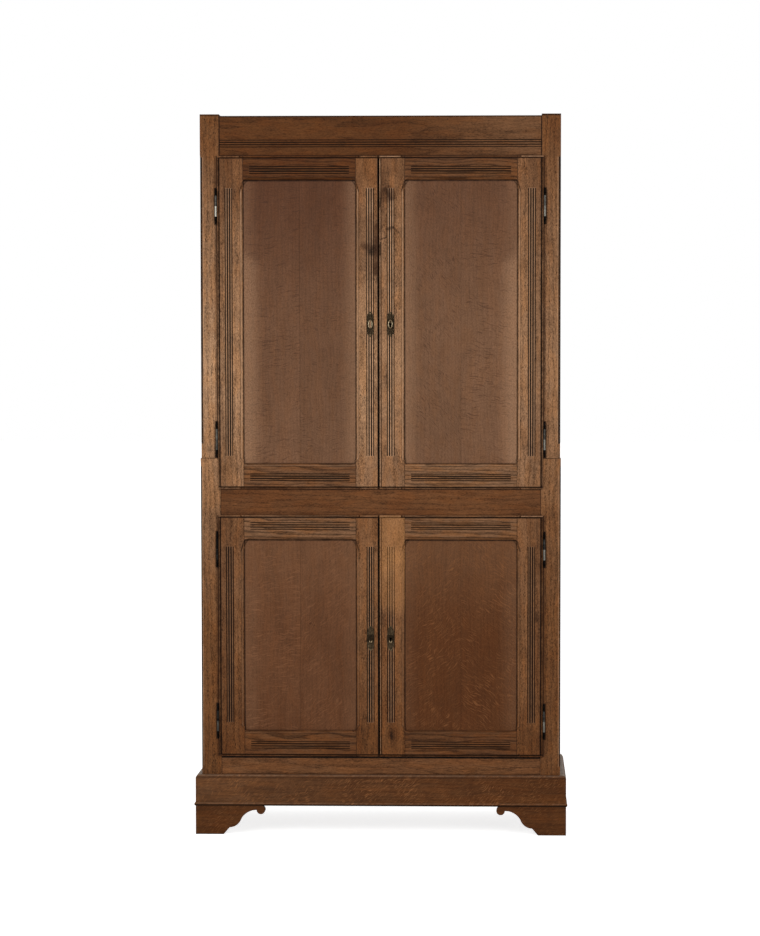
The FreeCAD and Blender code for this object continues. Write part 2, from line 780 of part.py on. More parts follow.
def escutcheon(case, x, pierced):
    """Plate with a raised boss. The upper plates have stepped ends, the lower are pointed ovals."""
    if case == "upper":
        quarter = [(0, 37.9), (4.2, 36.2), (5.4, 32.5), (5.4, 30.5), (9.4, 28.8), (10.6, 25.0)]
    else:
        quarter = [(0, 37.5), (2.9, 36.4), (4.0, 33.5), (7.6, 23.5), (10.4, 11.0), (11.3, 0)]
    plate = four_way_outline(quarter).extrude(FreeCAD.Vector(0, -escutcheon_thickness, 0))
    boss = four_way_outline([(0, 13.0), (4.0, 12.0), (6.5, 9.0)])
    boss = boss.extrude(FreeCAD.Vector(0, -escutcheon_thickness - boss_thickness, 0))
    whole = fused([plate, boss])
    level = lock_levels[case]
    whole.translate(FreeCAD.Vector(x, door_face, level))
    if pierced:
        return whole.cut(keyhole(x, level, door_face - 10, door_face + 1))
    return whole


# Everything saved, one file for each kind of piece

os.makedirs("parts", exist_ok=True)

save("plinth_front", plinth_front())
save("plinth_side_left", plinth_side())
save("plinth_side_right", mirrored(plinth_side()))
save("plinth_back", box(post_depth - lower_half_width, lower_half_width - post_depth,
                        inside_back - plinth_back_thickness, inside_back,
                        back_board_foot, bottom_board_level))
save("foot_front_right", *front_foot())
save("foot_front_left", *[mirrored(piece) for piece in front_foot()])
save("rear_feet", *[piece for half in rear_foot() for piece in both_sides(half)])

for case in ("lower", "upper"):
    save(case + "_post_right", front_post(case))
    save(case + "_post_left", mirrored(front_post(case)))
    save(case + "_rear_posts", *both_sides(rear_post(case)))
    save(case + "_side_rails", *[piece for rail in side_rails(case) for piece in both_sides(rail)])
    save(case + "_side_panels", *[piece for panel in side_panels(case) for piece in both_sides(panel)])

save("bottom_rail", case_rail(bottom_rail_levels, front))
save("mid_rail", mid_rail())
save("top_rail", top_rail())

shelf_front = front + shelf_front_gap
save("bottom_board", notched_board("lower", bottom_board_level, rail_back))
save("middle_board", notched_board("lower", middle_board_level, rail_back))
save("lower_shelf", notched_board("lower", lower_shelf_level, shelf_front))
save("upper_shelves", *[notched_board("upper", level, shelf_front) for level in upper_shelf_levels])
save("top_board", notched_board("upper", top_board_level, rail_back + top_rail_setback))
save("shelf_bearers", *[piece for case in ("lower", "upper") for bearer in bearers(case)
                        for piece in both_sides(bearer)])
save("lower_back_boards", *back_boards("lower", back_board_foot, seam))
save("upper_back_boards", *back_boards("upper", seam, top_board_level + board_thickness))
save("locating_pegs", *[piece for pin in pegs() for piece in both_sides(pin)])
save("frame_hinge_leaves", *[piece for levels in hinge_levels.values() for level in levels
                             for piece in both_sides(frame_hinge_half(level))])

for case in ("upper", "lower"):
    for side in ("left", "right"):
        door = case + "_" + side + "_door_"
        stiles, rails = door_frame(case, side)
        panel = panel_box(door_shapes[case], panel_tongue - panel_slack / 2)
        leaves = [door_hinge_half(level) for level in hinge_levels[case]]
        if side == "left":
            stiles = [mirrored(piece) for piece in stiles]
            rails = [mirrored(piece) for piece in rails]
            leaves = [mirrored(piece) for piece in leaves]
            panel = mirrored(panel)
        save(door + "stiles", *stiles)
        save(door + "rails", *rails)
        save(door + "panel", panel)
        save(door + "hinge_leaves", *leaves)
        key_x = right_key_x if side == "right" else left_key_x
        save(door + "escutcheon", escutcheon(case, key_x, side == "right"))
    lock_case, bolt = lock_parts(case)
    save(case + "_lock_case", lock_case)
    save(case + "_lock_bolt", bolt)
    save(case + "_lock_keeper", keeper(case))

for case, tip, rises in (("upper", upper_opening[0] + slide_tip_gap, False),
                         ("lower", lower_opening[1] - slide_tip_gap, True)):
    slide_fixed, slide_moving = slide_bolt(tip, rises)
    save(case + "_slide_bolt_plate", slide_fixed)
    save(case + "_slide_bolt_bar", slide_moving)
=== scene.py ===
import bmesh
import bpy
import math
import numpy as np
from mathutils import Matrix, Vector

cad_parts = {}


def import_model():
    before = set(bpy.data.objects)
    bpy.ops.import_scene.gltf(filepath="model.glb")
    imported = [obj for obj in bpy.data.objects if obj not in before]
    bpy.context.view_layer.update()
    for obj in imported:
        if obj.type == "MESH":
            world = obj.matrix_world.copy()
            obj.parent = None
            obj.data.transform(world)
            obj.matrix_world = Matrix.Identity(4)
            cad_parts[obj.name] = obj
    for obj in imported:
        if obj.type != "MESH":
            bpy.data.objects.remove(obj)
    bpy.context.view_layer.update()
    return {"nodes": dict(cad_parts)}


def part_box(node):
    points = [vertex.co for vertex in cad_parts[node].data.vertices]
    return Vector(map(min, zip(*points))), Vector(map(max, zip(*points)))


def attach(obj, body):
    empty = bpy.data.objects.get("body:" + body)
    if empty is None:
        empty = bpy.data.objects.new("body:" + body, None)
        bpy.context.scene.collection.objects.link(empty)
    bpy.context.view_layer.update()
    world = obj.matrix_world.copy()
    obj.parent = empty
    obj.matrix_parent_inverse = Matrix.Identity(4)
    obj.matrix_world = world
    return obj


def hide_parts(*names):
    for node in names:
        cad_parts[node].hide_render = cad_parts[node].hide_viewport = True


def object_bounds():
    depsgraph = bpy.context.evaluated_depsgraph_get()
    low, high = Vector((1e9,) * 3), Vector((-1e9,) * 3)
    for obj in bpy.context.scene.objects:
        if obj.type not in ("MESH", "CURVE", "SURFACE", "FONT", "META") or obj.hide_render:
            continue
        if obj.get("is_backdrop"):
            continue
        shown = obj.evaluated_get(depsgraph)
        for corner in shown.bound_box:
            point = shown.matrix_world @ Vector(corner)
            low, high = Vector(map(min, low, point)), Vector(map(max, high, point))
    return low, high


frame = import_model()
nodes = frame["nodes"]
scene = bpy.context.scene
print("frame loaded,", len(nodes), "CAD nodes")


# Small helpers for node trees

def srgb(red, green, blue):
    # a screen colour, 0 to 255, as the linear colour a socket takes
    parts = [c / 255 for c in (red, green, blue)]
    return tuple(c / 12.92 if c < 0.04045 else ((c + 0.055) / 1.055) ** 2.4 for c in parts) + (1.0,)


def fill(node, values):
    # values maps a socket's name or number to a value or to another node's output
    for key, value in values.items():
        if isinstance(value, bpy.types.NodeSocket):
            node.id_data.links.new(value, node.inputs[key])
        else:
            node.inputs[key].default_value = value
    return node


def put(kind, values, **settings):
    # a node in the tree of the outputs among its values
    tree = next(value.id_data for value in values.values() if isinstance(value, bpy.types.NodeSocket))
    node = tree.nodes.new("ShaderNode" + kind)
    for key, value in settings.items():
        setattr(node, key, value)
    return fill(node, values)


def calc(operation, *values, clamp=False):
    node = put("Math", dict(enumerate(values)), operation=operation, use_clamp=clamp)
    return node.outputs[0]


def plus(first, second):
    return calc("ADD", first, second)


def minus(first, second):
    return calc("SUBTRACT", first, second)


def times(product, *others, clamp=False):
    # the product of all values, held between 0 and 1 where clamp is set
    for other in others[:-1]:
        product = calc("MULTIPLY", product, other)
    return calc("MULTIPLY", product, others[-1], clamp=clamp)


def move(operation, *values):
    node = put("VectorMath", dict(enumerate(values)), operation=operation)
    return node.outputs["Value" if operation in ("LENGTH", "DOT_PRODUCT") else "Vector"]


def stretch(vector, x, y, z):
    return move("MULTIPLY", vector, (x, y, z))


def scaled(vector, factor):
    return put("VectorMath", {0: vector, "Scale": factor}, operation="SCALE").outputs[0]


def swung(vector, angle):
    # turned about the second axis
    node = put("VectorRotate", {"Vector": vector, "Angle": angle}, rotation_type="Y_AXIS")
    return node.outputs[0]


def ramp(value, low, high, toLow=0.0, toHigh=1.0):
    # smooth step from low to high
    return put("MapRange", {0: value, 1: low, 2: high, 3: toLow, 4: toHigh},
               interpolation_type="SMOOTHSTEP").outputs[0]


def tint(factor, first, second):
    node = put("Mix", {0: factor, 6: first, 7: second}, data_type="RGBA")
    return node.outputs[2]


def colorScale(value, stops, interpolation="LINEAR"):
    # a colour for each value, from stops of (value, colour)
    node = put("ValToRGB", {0: value})
    scale = node.color_ramp
    scale.interpolation = interpolation
    while len(scale.elements) < len(stops):
        scale.elements.new(0.5)
    for element, (position, color) in zip(scale.elements, stops):
        element.position = position
        element.color = color
    return node.outputs["Color"]


def grit(vector, scale, detail=2.0, roughness=0.5, channel=0):
    # noise; scale is one number, or one for each axis
    if isinstance(scale, tuple):
        vector = stretch(vector, *scale)
        scale = 1.0
    node = put("TexNoise", {"Vector": vector, "Scale": scale, "Detail": detail, "Roughness": roughness})
    return node.outputs[channel]


def apart(vector):
    return put("SeparateXYZ", {0: vector}).outputs


def joined(*parts):
    return put("CombineXYZ", dict(enumerate(parts))).outputs[0]


def newMaterial(name):
    material = bpy.data.materials.new(name)
    material.use_nodes = True
    return material, material.node_tree


def newGroup(name, vectors, colors, numbers, results=""):
    # a group's tree, its inputs as outputs to take from, and the node that takes Color and the results
    tree = bpy.data.node_groups.new(name, "ShaderNodeTree")
    for way, kind, sockets in (("INPUT", "Vector", vectors), ("INPUT", "Color", colors),
                               ("INPUT", "Float", numbers), ("OUTPUT", "Color", "Color"),
                               ("OUTPUT", "Float", results)):
        for socket in sockets.split():
            tree.interface.new_socket(socket, in_out=way, socket_type="NodeSocket" + kind)
    return tree, tree.nodes.new("NodeGroupInput").outputs, tree.nodes.new("NodeGroupOutput")


# Shared effects. Noise scales in threes are waves per millimetre; in wood, across, deep and along the grain.

# Inks: black is painted shade; dirt, soot and umber serve both as real dirt or stain and as painted shade;
# pale serves both as wear and as painted highlight.
inks = {"black": srgb(6, 4, 3), "soot": srgb(16, 9, 5), "dirt": srgb(30, 16, 8), "pore": srgb(34, 17, 8),
        "umber": srgb(54, 30, 15), "pale": srgb(214, 168, 130), "dust": srgb(150, 136, 120),
        "amber": srgb(216, 152, 92)}
grainScale = {
    "swirl": (0.008, 0.008, 0.004), "age": (0.04, 0.04, 0.005), "broad": (0.018, 0.018, 0.004),
    "streak": (0.42, 0.42, 0.03), "warmth": (0.05, 0.05, 0.014), "mottle": (0.34, 0.34, 0.22),
    "cluster": (0.6, 0.6, 0.12), "pore": (2.4, 2.4, 0.15), "bend": (0.022, 0.022, 0.022),
    "ray": (0.04, 0.02, 0.5), "patch": (0.012, 0.012, 0.009),
}
wearScale = {"blotch": (0.02, 0.02, 0.02), "scratch": (0.35, 0.1, 0.012), "chips": (0.09, 0.09, 0.09)}


def oakFigure():
    # Place is in metres with the grain along its third axis. Rings are shells round a pith line at
    # Pith, which leans by Lean; Bands darkens their early wood. A share of painted light lightens the wood
    # towards a pale colour, both given as inputs, and Warm reddens soft patches. Streak and Mottle are long
    # and short unevenness of tone. Pores are short dashes along the grain in clusters, denser in the early
    # wood. Rays are ribbons of Fleck across the grain, turned by Tilt and made smaller by Fine.
    tree, given, made = newGroup(
        "oakFigure", "Place Pith", "Dark Light Bloom Fleck",
        "Seed Lean Ring Sun Streak Bands Pores Rays Tilt Fine Mottle Warm", "Height Roughness")
    millimetres = scaled(given["Place"], 1000.0)
    spot = move("ADD", millimetres, scaled((131.0, 57.0, 311.0), given["Seed"]))
    swirl = grit(spot, grainScale["swirl"], 1.0, channel=1)
    swirl = stretch(move("SUBTRACT", swirl, (0.5, 0.5, 0.5)), 24.0, 24.0, 0.0)
    spot = move("ADD", spot, swirl)
    # rings
    across, deep, along = apart(move("ADD", millimetres, swirl))
    pithX, pithY = apart(given["Pith"])[:2]
    across = plus(minus(across, pithX), times(along, given["Lean"]))
    radius = move("LENGTH", joined(across, minus(deep, pithY), 0.0))
    drift = times(grit(spot, grainScale["age"]), 2.4)
    season = calc("FRACT", plus(calc("DIVIDE", radius, given["Ring"]), drift))
    early = times(ramp(season, 0.62, 0.1), ramp(season, 0.0, 0.08))
    # tone
    broad = grit(spot, grainScale["broad"], 3.0)
    streak = grit(spot, grainScale["streak"], 3.0, 0.62)
    color = tint(ramp(broad, 0.32, 0.68, 0.0, 0.6), given["Dark"], given["Light"])
    # painted light: the wood lightens towards a pale colour by the given share
    color = tint(given["Sun"], color, given["Bloom"])
    warmth = ramp(grit(spot, grainScale["warmth"]), 0.42, 0.62, 0.0, given["Warm"])
    color = tint(warmth, color, stretch(color, 1.1, 0.95, 0.74))
    shade = times(minus(streak, 0.5), given["Streak"])
    shade = minus(shade, times(early, given["Bands"]))
    mottle = grit(spot, grainScale["mottle"], 2.0, 0.7)
    shade = plus(shade, times(minus(mottle, 0.5), given["Mottle"]))
    color = scaled(color, plus(1.0, times(shade, 1.6)))
    # pores
    cluster = ramp(grit(spot, grainScale["cluster"], 1.0), 0.42, 0.6)
    cluster = times(cluster, plus(0.7, times(early, 0.5)))
    dash = ramp(grit(spot, grainScale["pore"], 0.0), 0.46, 0.6)
    pores = times(dash, cluster, given["Pores"], clamp=True)
    color = tint(pores, color, inks["pore"])
    # rays
    bend = grit(spot, grainScale["bend"], 1.0, channel=1)
    turned = move("ADD", swung(spot, given["Tilt"]), stretch(bend, 0.0, 0.0, 30.0))
    ribbon = grit(scaled(turned, given["Fine"]), grainScale["ray"], 0.5)
    patchy = ramp(grit(spot, grainScale["patch"]), 0.38, 0.6, 0.3, 1.0)
    rays = times(ramp(ribbon, 0.56, 0.72), patchy, given["Rays"], clamp=True)
    color = tint(rays, color, given["Fleck"])
    hollow = times(minus(1.0, times(rays, 0.5)), pores)
    fill(made, {"Color": color, "Height": minus(times(streak, 0.3), hollow),
                "Roughness": plus(0.45, times(plus(pores, broad), 0.2))})
    return tree


def agedSurface():
    # Stains in soft patches, scratches, a paler worn look on edges that Normal shows to be rounded,
    # and dust that lies on what faces up.
    tree, given, made = newGroup("agedSurface", "Place Normal", "Color", "Stain Wear Dust Scratch")
    spot = scaled(given["Place"], 1000.0)
    blotch = grit(spot, wearScale["blotch"], 4.0, 0.65)
    stain = times(ramp(blotch, 0.42, 0.72), given["Stain"])
    color = tint(stain, given["Color"], inks["umber"])
    scratch = ramp(grit(swung(spot, 0.7), wearScale["scratch"], 1.0), 0.69, 0.76)
    color = tint(times(scratch, given["Scratch"]), color, inks["umber"])
    nx, ny, nz = [calc("ABSOLUTE", part) for part in apart(given["Normal"])]
    largest = calc("MAXIMUM", calc("MAXIMUM", nx, ny), nz)
    edges = times(ramp(largest, 0.99, 0.93), ramp(largest, 0.72, 0.78))
    chips = ramp(grit(spot, wearScale["chips"], 3.0, 0.6), 0.4, 0.62, 0.25, 1.0)
    color = tint(times(edges, given["Wear"], chips), color, inks["pale"])
    upwards = ramp(apart(given["Normal"])[2], 0.75, 0.97)
    settled = times(upwards, given["Dust"], ramp(blotch, 0.3, 0.6, 0.45, 1.0))
    fill(made, {"Color": tint(settled, color, inks["dust"])})
    return tree


def oakKnot():
    # a dark eye with rings round it at Centre, drawn out along the grain by Stretch
    tree, given, made = newGroup("oakKnot", "Place Centre Stretch", "Color", "Size Strength")
    away = move("MULTIPLY", move("SUBTRACT", given["Place"], given["Centre"]), given["Stretch"])
    rough = move("SUBTRACT", grit(given["Place"], 70.0, 3.0, channel=1), (0.5, 0.5, 0.5))
    away = move("LENGTH", move("ADD", away, scaled(rough, 0.014)))
    reach = calc("DIVIDE", away, given["Size"])
    rings = ramp(calc("SINE", times(reach, 9.0)), -0.6, 0.9, 0.1, 0.5)
    halo = times(ramp(reach, 2.4, 0.9), rings)
    eye = calc("MAXIMUM", ramp(reach, 1.0, 0.3), halo)
    mask = times(eye, given["Strength"], clamp=True)
    fill(made, {"Color": tint(mask, given["Color"], inks["dirt"])})
    return tree


groups = {"figure": oakFigure(), "aged": agedSurface(), "knot": oakKnot()}
print("shared effects made")


def effect(name, values):
    return put("Group", values, node_tree=groups[name]).outputs


# Oak, in its several cuts. Streak, bands, pores, rays, mottle, warm, stain, wear, dust and scratch are
# strengths; ring and pith are in millimetres, tilt is in radians. A value missing here is the usual one.

# the usual values include the pale colour of painted light and the axis it varies along
oakUsual = dict(
    rays=0.0, tilt=0.4, fine=1.0, fleck=(150, 104, 70), mottle=0.2, warm=0.5, bloom=(214, 168, 128),
    sunAxis="z", tiltStep=0.0, boardShift=0.12, glueLine=0.5, knots=(), marks=(), stain=0.3, wear=0.4,
    dust=0.0, scratch=0.15, gloss=0.08)
oakLooks = {
    "post": dict(grain="z", dark=(104, 63, 31), light=(130, 84, 46), streak=0.45, bands=0.14, pores=0.85,
                 mottle=1.0, ring=16.0, lean=0.01),
    "stile": dict(grain="z", dark=(108, 66, 35), light=(136, 89, 51), streak=0.5, bands=0.14, pores=0.85,
                  mottle=1.0, ring=15.0, pith=(0.0, 160.0, 0.0), lean=0.01),
    "doorRail": dict(grain="x", dark=(84, 48, 23), light=(112, 69, 36), streak=0.9, bands=0.3, pores=0.6,
                     warm=0.8, ring=13.0, pith=(60.0, 40.0, 0.0), lean=0.03),
    "caseRail": dict(grain="x", dark=(98, 59, 31), light=(124, 79, 45), streak=0.7, bands=0.12, pores=0.7,
                     ring=17.0, pith=(30.0, 160.0, 0.0), lean=0.02),
    "frieze": dict(grain="x", dark=(90, 53, 25), light=(104, 63, 31), streak=0.7, bands=0.15, pores=0.7,
                   ring=16.0, pith=(2110.0, 90.0, 0.0), lean=0.02),
    "panel": dict(grain="z", dark=(90, 57, 38), light=(103, 68, 48), streak=0.2, bands=0.05, pores=0.18,
                  mottle=0.6, warm=0.25, ring=11.0, pith=(900.0, 0.0, 0.0), lean=0.0),
    "plinth": dict(grain="x", dark=(80, 46, 21), light=(106, 64, 32), streak=0.5, bands=0.1, pores=0.4,
                   rays=0.9, tilt=0.9, fine=1.5, fleck=(150, 98, 58), ring=12.0, pith=(-400.0, 0.0, 0.0),
                   lean=0.0),
    "side": dict(grain="z", dark=(78, 46, 24), light=(104, 66, 38), streak=0.5, bands=0.12, pores=0.5,
                 rays=0.25, ring=12.0, pith=(0.0, 700.0, 0.0), lean=0.0),
    "inside": dict(grain="x", dark=(124, 88, 54), light=(158, 120, 82), streak=0.45, bands=0.15, pores=0.45,
                   rays=0.2, ring=14.0, pith=(300.0, 30.0, 0.0), lean=0.01),
    "backBoard": dict(grain="z", dark=(104, 72, 46), light=(138, 102, 70), streak=0.6, bands=0.2, pores=0.6,
                      rays=0.1, ring=15.0, pith=(40.0, 120.0, 0.0), lean=0.02),
}
grainOrder = {"x": (2, 1, 0), "y": (0, 2, 1), "z": (0, 1, 2)}     # which of x, y, z go to across, deep, along


# Marks are painted over the wood one after another. Each has a strength, an ink, windows it lies within as
# (axis, low, high), and broken, the share of it that chips take away.

def newMark(kind, shape, strength, ink="dirt", within=(), axis="x", broken=0.3, chips=0):
    return {"kind": kind, "shape": shape, "strength": strength, "ink": ink, "within": within, "axis": axis,
            "broken": broken, "chips": chips}


def line(axis, where, width, *rest, core=0.4, **more):
    return newMark("line", (where, width, width * core), *rest, axis=axis, **more)


def between(axis, low, high, soft, *rest, **more):
    return newMark("between", (low, high, soft), *rest, axis=axis, **more)


def spot(x, z, radius, *rest, **more):
    return newMark("spot", (x, z, radius), *rest, **more)


def stroke(x0, z0, x1, z1, width, *rest, wave=0.006, **more):
    return newMark("stroke", (x0, z0, x1, z1, width, wave), *rest, **more)


def markMask(at, mark, chips):
    # the mark's strength on it and 0 off it, cut off at its windows and broken up by chips
    axis, strength = at[mark["axis"]], mark["strength"]
    if mark["kind"] == "line":        # near one place on the axis
        where, width, core = mark["shape"]
        mask = ramp(calc("ABSOLUTE", minus(axis, where)), width, core, 0.0, strength)
    elif mark["kind"] == "between":   # in a range on the axis
        low, high, soft = mark["shape"]
        mask = times(ramp(axis, low - soft, low), ramp(axis, high + soft, high, 0.0, strength))
    elif mark["kind"] == "stroke":    # near the line between two points, which noise makes wavy
        x0, z0, x1, z1, width, wave = mark["shape"]
        here = joined(axis, at["z"], 0.0)
        wavy = move("ADD", here, scaled(grit(here, 160.0, channel=1), wave))
        away = move("SUBTRACT", wavy, (x0 + wave / 2, z0 + wave / 2, wave / 2))
        along = (x1 - x0, z1 - z0, 0.0)
        share = calc("DIVIDE", move("DOT_PRODUCT", away, along), math.hypot(*along) ** 2, clamp=True)
        off = stretch(move("SUBTRACT", away, scaled(along, share)), 1.0, 1.0, 0.0)
        mask = ramp(move("LENGTH", off), width, width * 0.3, 0.0, strength)
    else:                             # near one point
        x, z, radius = mark["shape"]
        off = joined(minus(axis, x), 0.0, minus(at["z"], z))
        mask = ramp(move("LENGTH", off), radius, radius * 0.5, 0.0, strength)
    for name, low, high in mark["within"]:
        mask = times(mask, calc("GREATER_THAN", at[name], low), calc("LESS_THAN", at[name], high))
    if mark["broken"]:
        mask = times(mask, ramp(chips[mark["chips"]], 0.36, 0.6, 1.0 - mark["broken"], 1.0))
    return mask


def paintedLightShare(place, stops):
    # how far painted light lightens the wood, eased between stops of (place, share)
    first, last = stops[0][0], stops[-1][0]
    way = put("MapRange", {0: place, 1: first, 2: last}).outputs[0]
    greys = [((level - first) / (last - first), (share, share, share, 1.0)) for level, share in stops]
    return plus(colorScale(way, greys, "EASE"), 0.0)


def oak(name, kind, seed, **extra):
    # extra: any entry of the look; painted light as stops of (place, share) along its axis; boards as (width,
    # origin) along x, each with its own shift of tone and step of tilt; knots as (centre, size, strength);
    # marks
    look = {**oakUsual, **oakLooks[kind], **extra}
    material, tree = newMaterial(name)
    coords = tree.nodes.new("ShaderNodeTexCoord").outputs
    place, normal = coords["Object"], coords["Normal"]
    x, y, z = apart(place)
    at = {"x": x, "y": y, "z": z, "side": calc("ABSOLUTE", x)}
    ownSeed, tilt = seed, look["tilt"]
    if "boards" in look:
        width, origin = look["boards"]
        fromOrigin = minus(x, origin)
        inBoards = calc("DIVIDE", fromOrigin, width)
        board = calc("FLOOR", inBoards)
        at["joint"] = calc("PINGPONG", fromOrigin, width / 2)
        ownSeed = plus(times(board, 3.7), seed)
        tilt = plus(times(board, look["tiltStep"]), tilt)
    values = {"Place": joined(*[(x, y, z)[i] for i in grainOrder[look["grain"]]]), "Seed": ownSeed,
              "Tilt": tilt, "Sun": paintedLightShare(at[look["sunAxis"]], look["sun"]) if "sun" in look else 0.0}
    for key in ("Pith", "Lean", "Ring", "Streak", "Bands", "Pores", "Rays", "Fine", "Mottle", "Warm"):
        values[key] = look[key.lower()]
    for key in ("Dark", "Light", "Bloom", "Fleck"):
        values[key] = srgb(*look[key.lower()])
    figure = effect("figure", values)
    color = figure["Color"]
    if "boards" in look:
        tone = put("TexWhiteNoise", {"W": plus(board, seed)}, noise_dimensions="1D")
        color = scaled(color, ramp(tone.outputs["Value"], 0.0, 1.0, 1.0 - look["boardShift"], 1.05))
        edge = times(calc("PINGPONG", calc("FRACT", inBoards), 0.5), width)
        color = tint(ramp(edge, 0.0013, 0.0003, 0.0, look["glueLine"]), color, inks["dirt"])
    drawn = {"x": (0.5, 0.3, 1.0), "y": (1.0, 0.5, 1.0), "z": (1.0, 0.3, 0.5)}[look["grain"]]
    for centre, size, strength in look["knots"]:
        color = effect("knot", {"Color": color, "Place": place, "Centre": centre, "Stretch": drawn,
                                "Size": size, "Strength": strength})["Color"]
    facing = dict(zip("xyz", apart(normal)))[look["grain"]]
    endGrain = times(ramp(calc("ABSOLUTE", facing), 0.85, 0.95), 0.65)
    color = tint(endGrain, color, srgb(*[part // 2 for part in look["dark"]]))
    values = {"Color": color, "Place": place, "Normal": normal}
    values.update({key: look[key.lower()] for key in ("Stain", "Wear", "Dust", "Scratch")})
    color = effect("aged", values)["Color"]
    chips = (grit(place, 55.0, 3.0, 0.6), grit(place, (320.0, 320.0, 170.0), 3.0, 0.7))
    for mark in look["marks"]:
        color = tint(markMask(at, mark, chips), color, inks[mark["ink"]])
    bump = put("Bump", {"Height": figure["Height"], "Strength": 0.5, "Distance": 0.0005})
    fill(tree.nodes["Principled BSDF"], {
        "Base Color": color, "Roughness": figure["Roughness"], "Normal": bump.outputs[0],
        "Specular IOR Level": look["gloss"]})
    return material


# Places that the marks and fittings follow, in metres, from the frame

def span(node, axis, inset=0.0):
    # low and high side of a CAD node, to a hundredth of a millimetre
    low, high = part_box(node)
    number = "xyz".index(axis)
    return round(low[number] + inset, 5), round(high[number] - inset, 5)


def middle(node, axis):
    return sum(span(node, axis)) / 2


cases = ("upper", "lower")
doors = {(case, side): case + "_" + side + "_door" for case in cases for side in ("left", "right")}
panelTongue = 0.00725
doorFace = span("upper_left_door_stiles", "y")[0]
frontFace = span("mid_rail", "y")[0]
lipEdge = span("upper_right_door_stiles", "x")[1]
meetingEdges = {"left": span("upper_left_door_stiles", "x")[1],
                "right": span("upper_right_door_stiles", "x")[0]}
corners = span("upper_right_door_panel", "x", panelTongue)
lips = {case: span(case + "_left_door_stiles", "z") for case in cases}
panels = {case: span(case + "_left_door_panel", "z", panelTongue) for case in cases}

knuckle = 0.0037            # radius of a hinge's knuckle
hingeReach = 0.055          # from the level where the halves meet to the tip of a finial
hingeGap = 0.0002           # from that level to each knuckle
hingeAxis = (span("frame_hinge_leaves", "x", knuckle)[1], span("frame_hinge_leaves", "y", knuckle)[0])
hingeLevels = {}
for case in cases:
    low, high = span(case + "_left_door_hinge_leaves", "z")
    hingeLevels[case] = (low - hingeGap, high - hingeReach)


# Marks on the doors

doorMarks = {
    # places: middle of each band of reeding and half its width, width of the lip's bead
    "hingeReeds": 0.461, "meetingReeds": {"left": 0.0304, "right": 0.032},
    "railReeds": {"upper": (1.0975, 2.0305), "lower": (0.2755, 0.9485)}, "reedHalf": 0.0117, "bead": 0.005,
    # strengths: pale crests of the stiles' reeds, of wear and painted highlight; painted shade in the grooves
    # of the rails; pale strips of the stiles' chamfers, of wear and painted highlight; painted shade and pale
    # strip of the chamfer under the panel; pale bead of the right door's meeting edge, of wear and painted
    # highlight;
    # rubbed parts of the panel
    "crest": {"upper": 0.6, "lower": 0.2}, "railGrooves": {"upper": 0.85, "lower": 0.72},
    "chamferStrip": {"upper": 0.6, "lower": 0.12}, "footChamfer": {"upper": (0.7, 0.2), "lower": (0.35, 0.05)},
    "meetingBead": {"upper": 0.9, "lower": 0.4}, "panelGlow": {"upper": 0.24, "lower": 0.07},
}


def before(depth):
    # a window over all that lies in front of a depth behind the doors' faces
    return "y", -1.0, doorFace + depth


onFace = before(0.0073)
inFrame = before(0.0091)     # down to the panel


def reedMarks(axis, centre, windows, crest, strength=0.95, ink="pale"):
    # painted shade and dirt in the grooves, and pale crests of wear and painted highlight, told apart by
    # their depth behind the door's face
    band = ((axis, centre - doorMarks["reedHalf"], centre + doorMarks["reedHalf"]),) + windows
    return [between("y", doorFace + 0.00045, doorFace + 0.0026, 0.0001, strength, "black", band, broken=0.05),
            between("y", doorFace + 0.00014, doorFace + 0.0004, 0.00005, crest, ink, band, broken=0.5)]


def edgeMarks(axis, edge, inwards, windows, beadStrength=0.4, shade=0.9, lipInk="pale"):
    # along one lipped edge: a bead, pale with wear and painted highlight or dark with grime and painted shade
    # as its ink gives, and a quirk darkened with painted shade and dirt
    return [line(axis, edge + inwards * 0.0022, 0.0022, beadStrength, lipInk, windows, broken=0.6),
            line(axis, edge + inwards * 0.0064, 0.0028, shade, "dirt", windows, broken=0.15, core=0.5)]


def chamferMarks(axis, corner, outwards, windows, shade=0.9, glow=0.6):
    # painted shade at the panel, a pale strip of wear and painted highlight, and a thin dark line at the
    # arris
    return [line(axis, corner, 0.0030, shade, "dirt", windows, broken=0.2, core=0.4),
            line(axis, corner + outwards * 0.0064, 0.0024, glow, "pale", windows, broken=0.4),
            line(axis, corner + outwards * 0.0091, 0.0014, 0.5, "dirt", windows, broken=0.3)]


def cornerStroke(x0, z0, x1, z1, strength):
    # a short dark stroke of painted shade beside a corner of the panel
    return stroke(x0, z0, x1, z1, 0.0026, strength, axis="side", wave=0.001)


def gapMarks(edge, width, shade, broken, core):
    # the gap between two doors: painted shade and dirt all over, black painted shade at its front
    return [line("x", edge, width, shade, "dirt", broken=0.4),
            line("x", edge, width, 1.0, "black", (before(0.0055),), broken=broken, core=core)]


def lipMarks(case, topWear):
    # the lips at a door's foot and top, with painted shade and grime on the foot's bead, and the joints
    # between its stiles and rails
    low, high = lips[case]
    marks = edgeMarks("z", low, 1, (onFace,), 0.5, 0.9, "umber")
    marks += edgeMarks("z", high, -1, (onFace,), topWear)
    return marks + [line("side", corner, 0.0014, 0.8, "dirt", (onFace,), broken=0.25) for corner in corners]


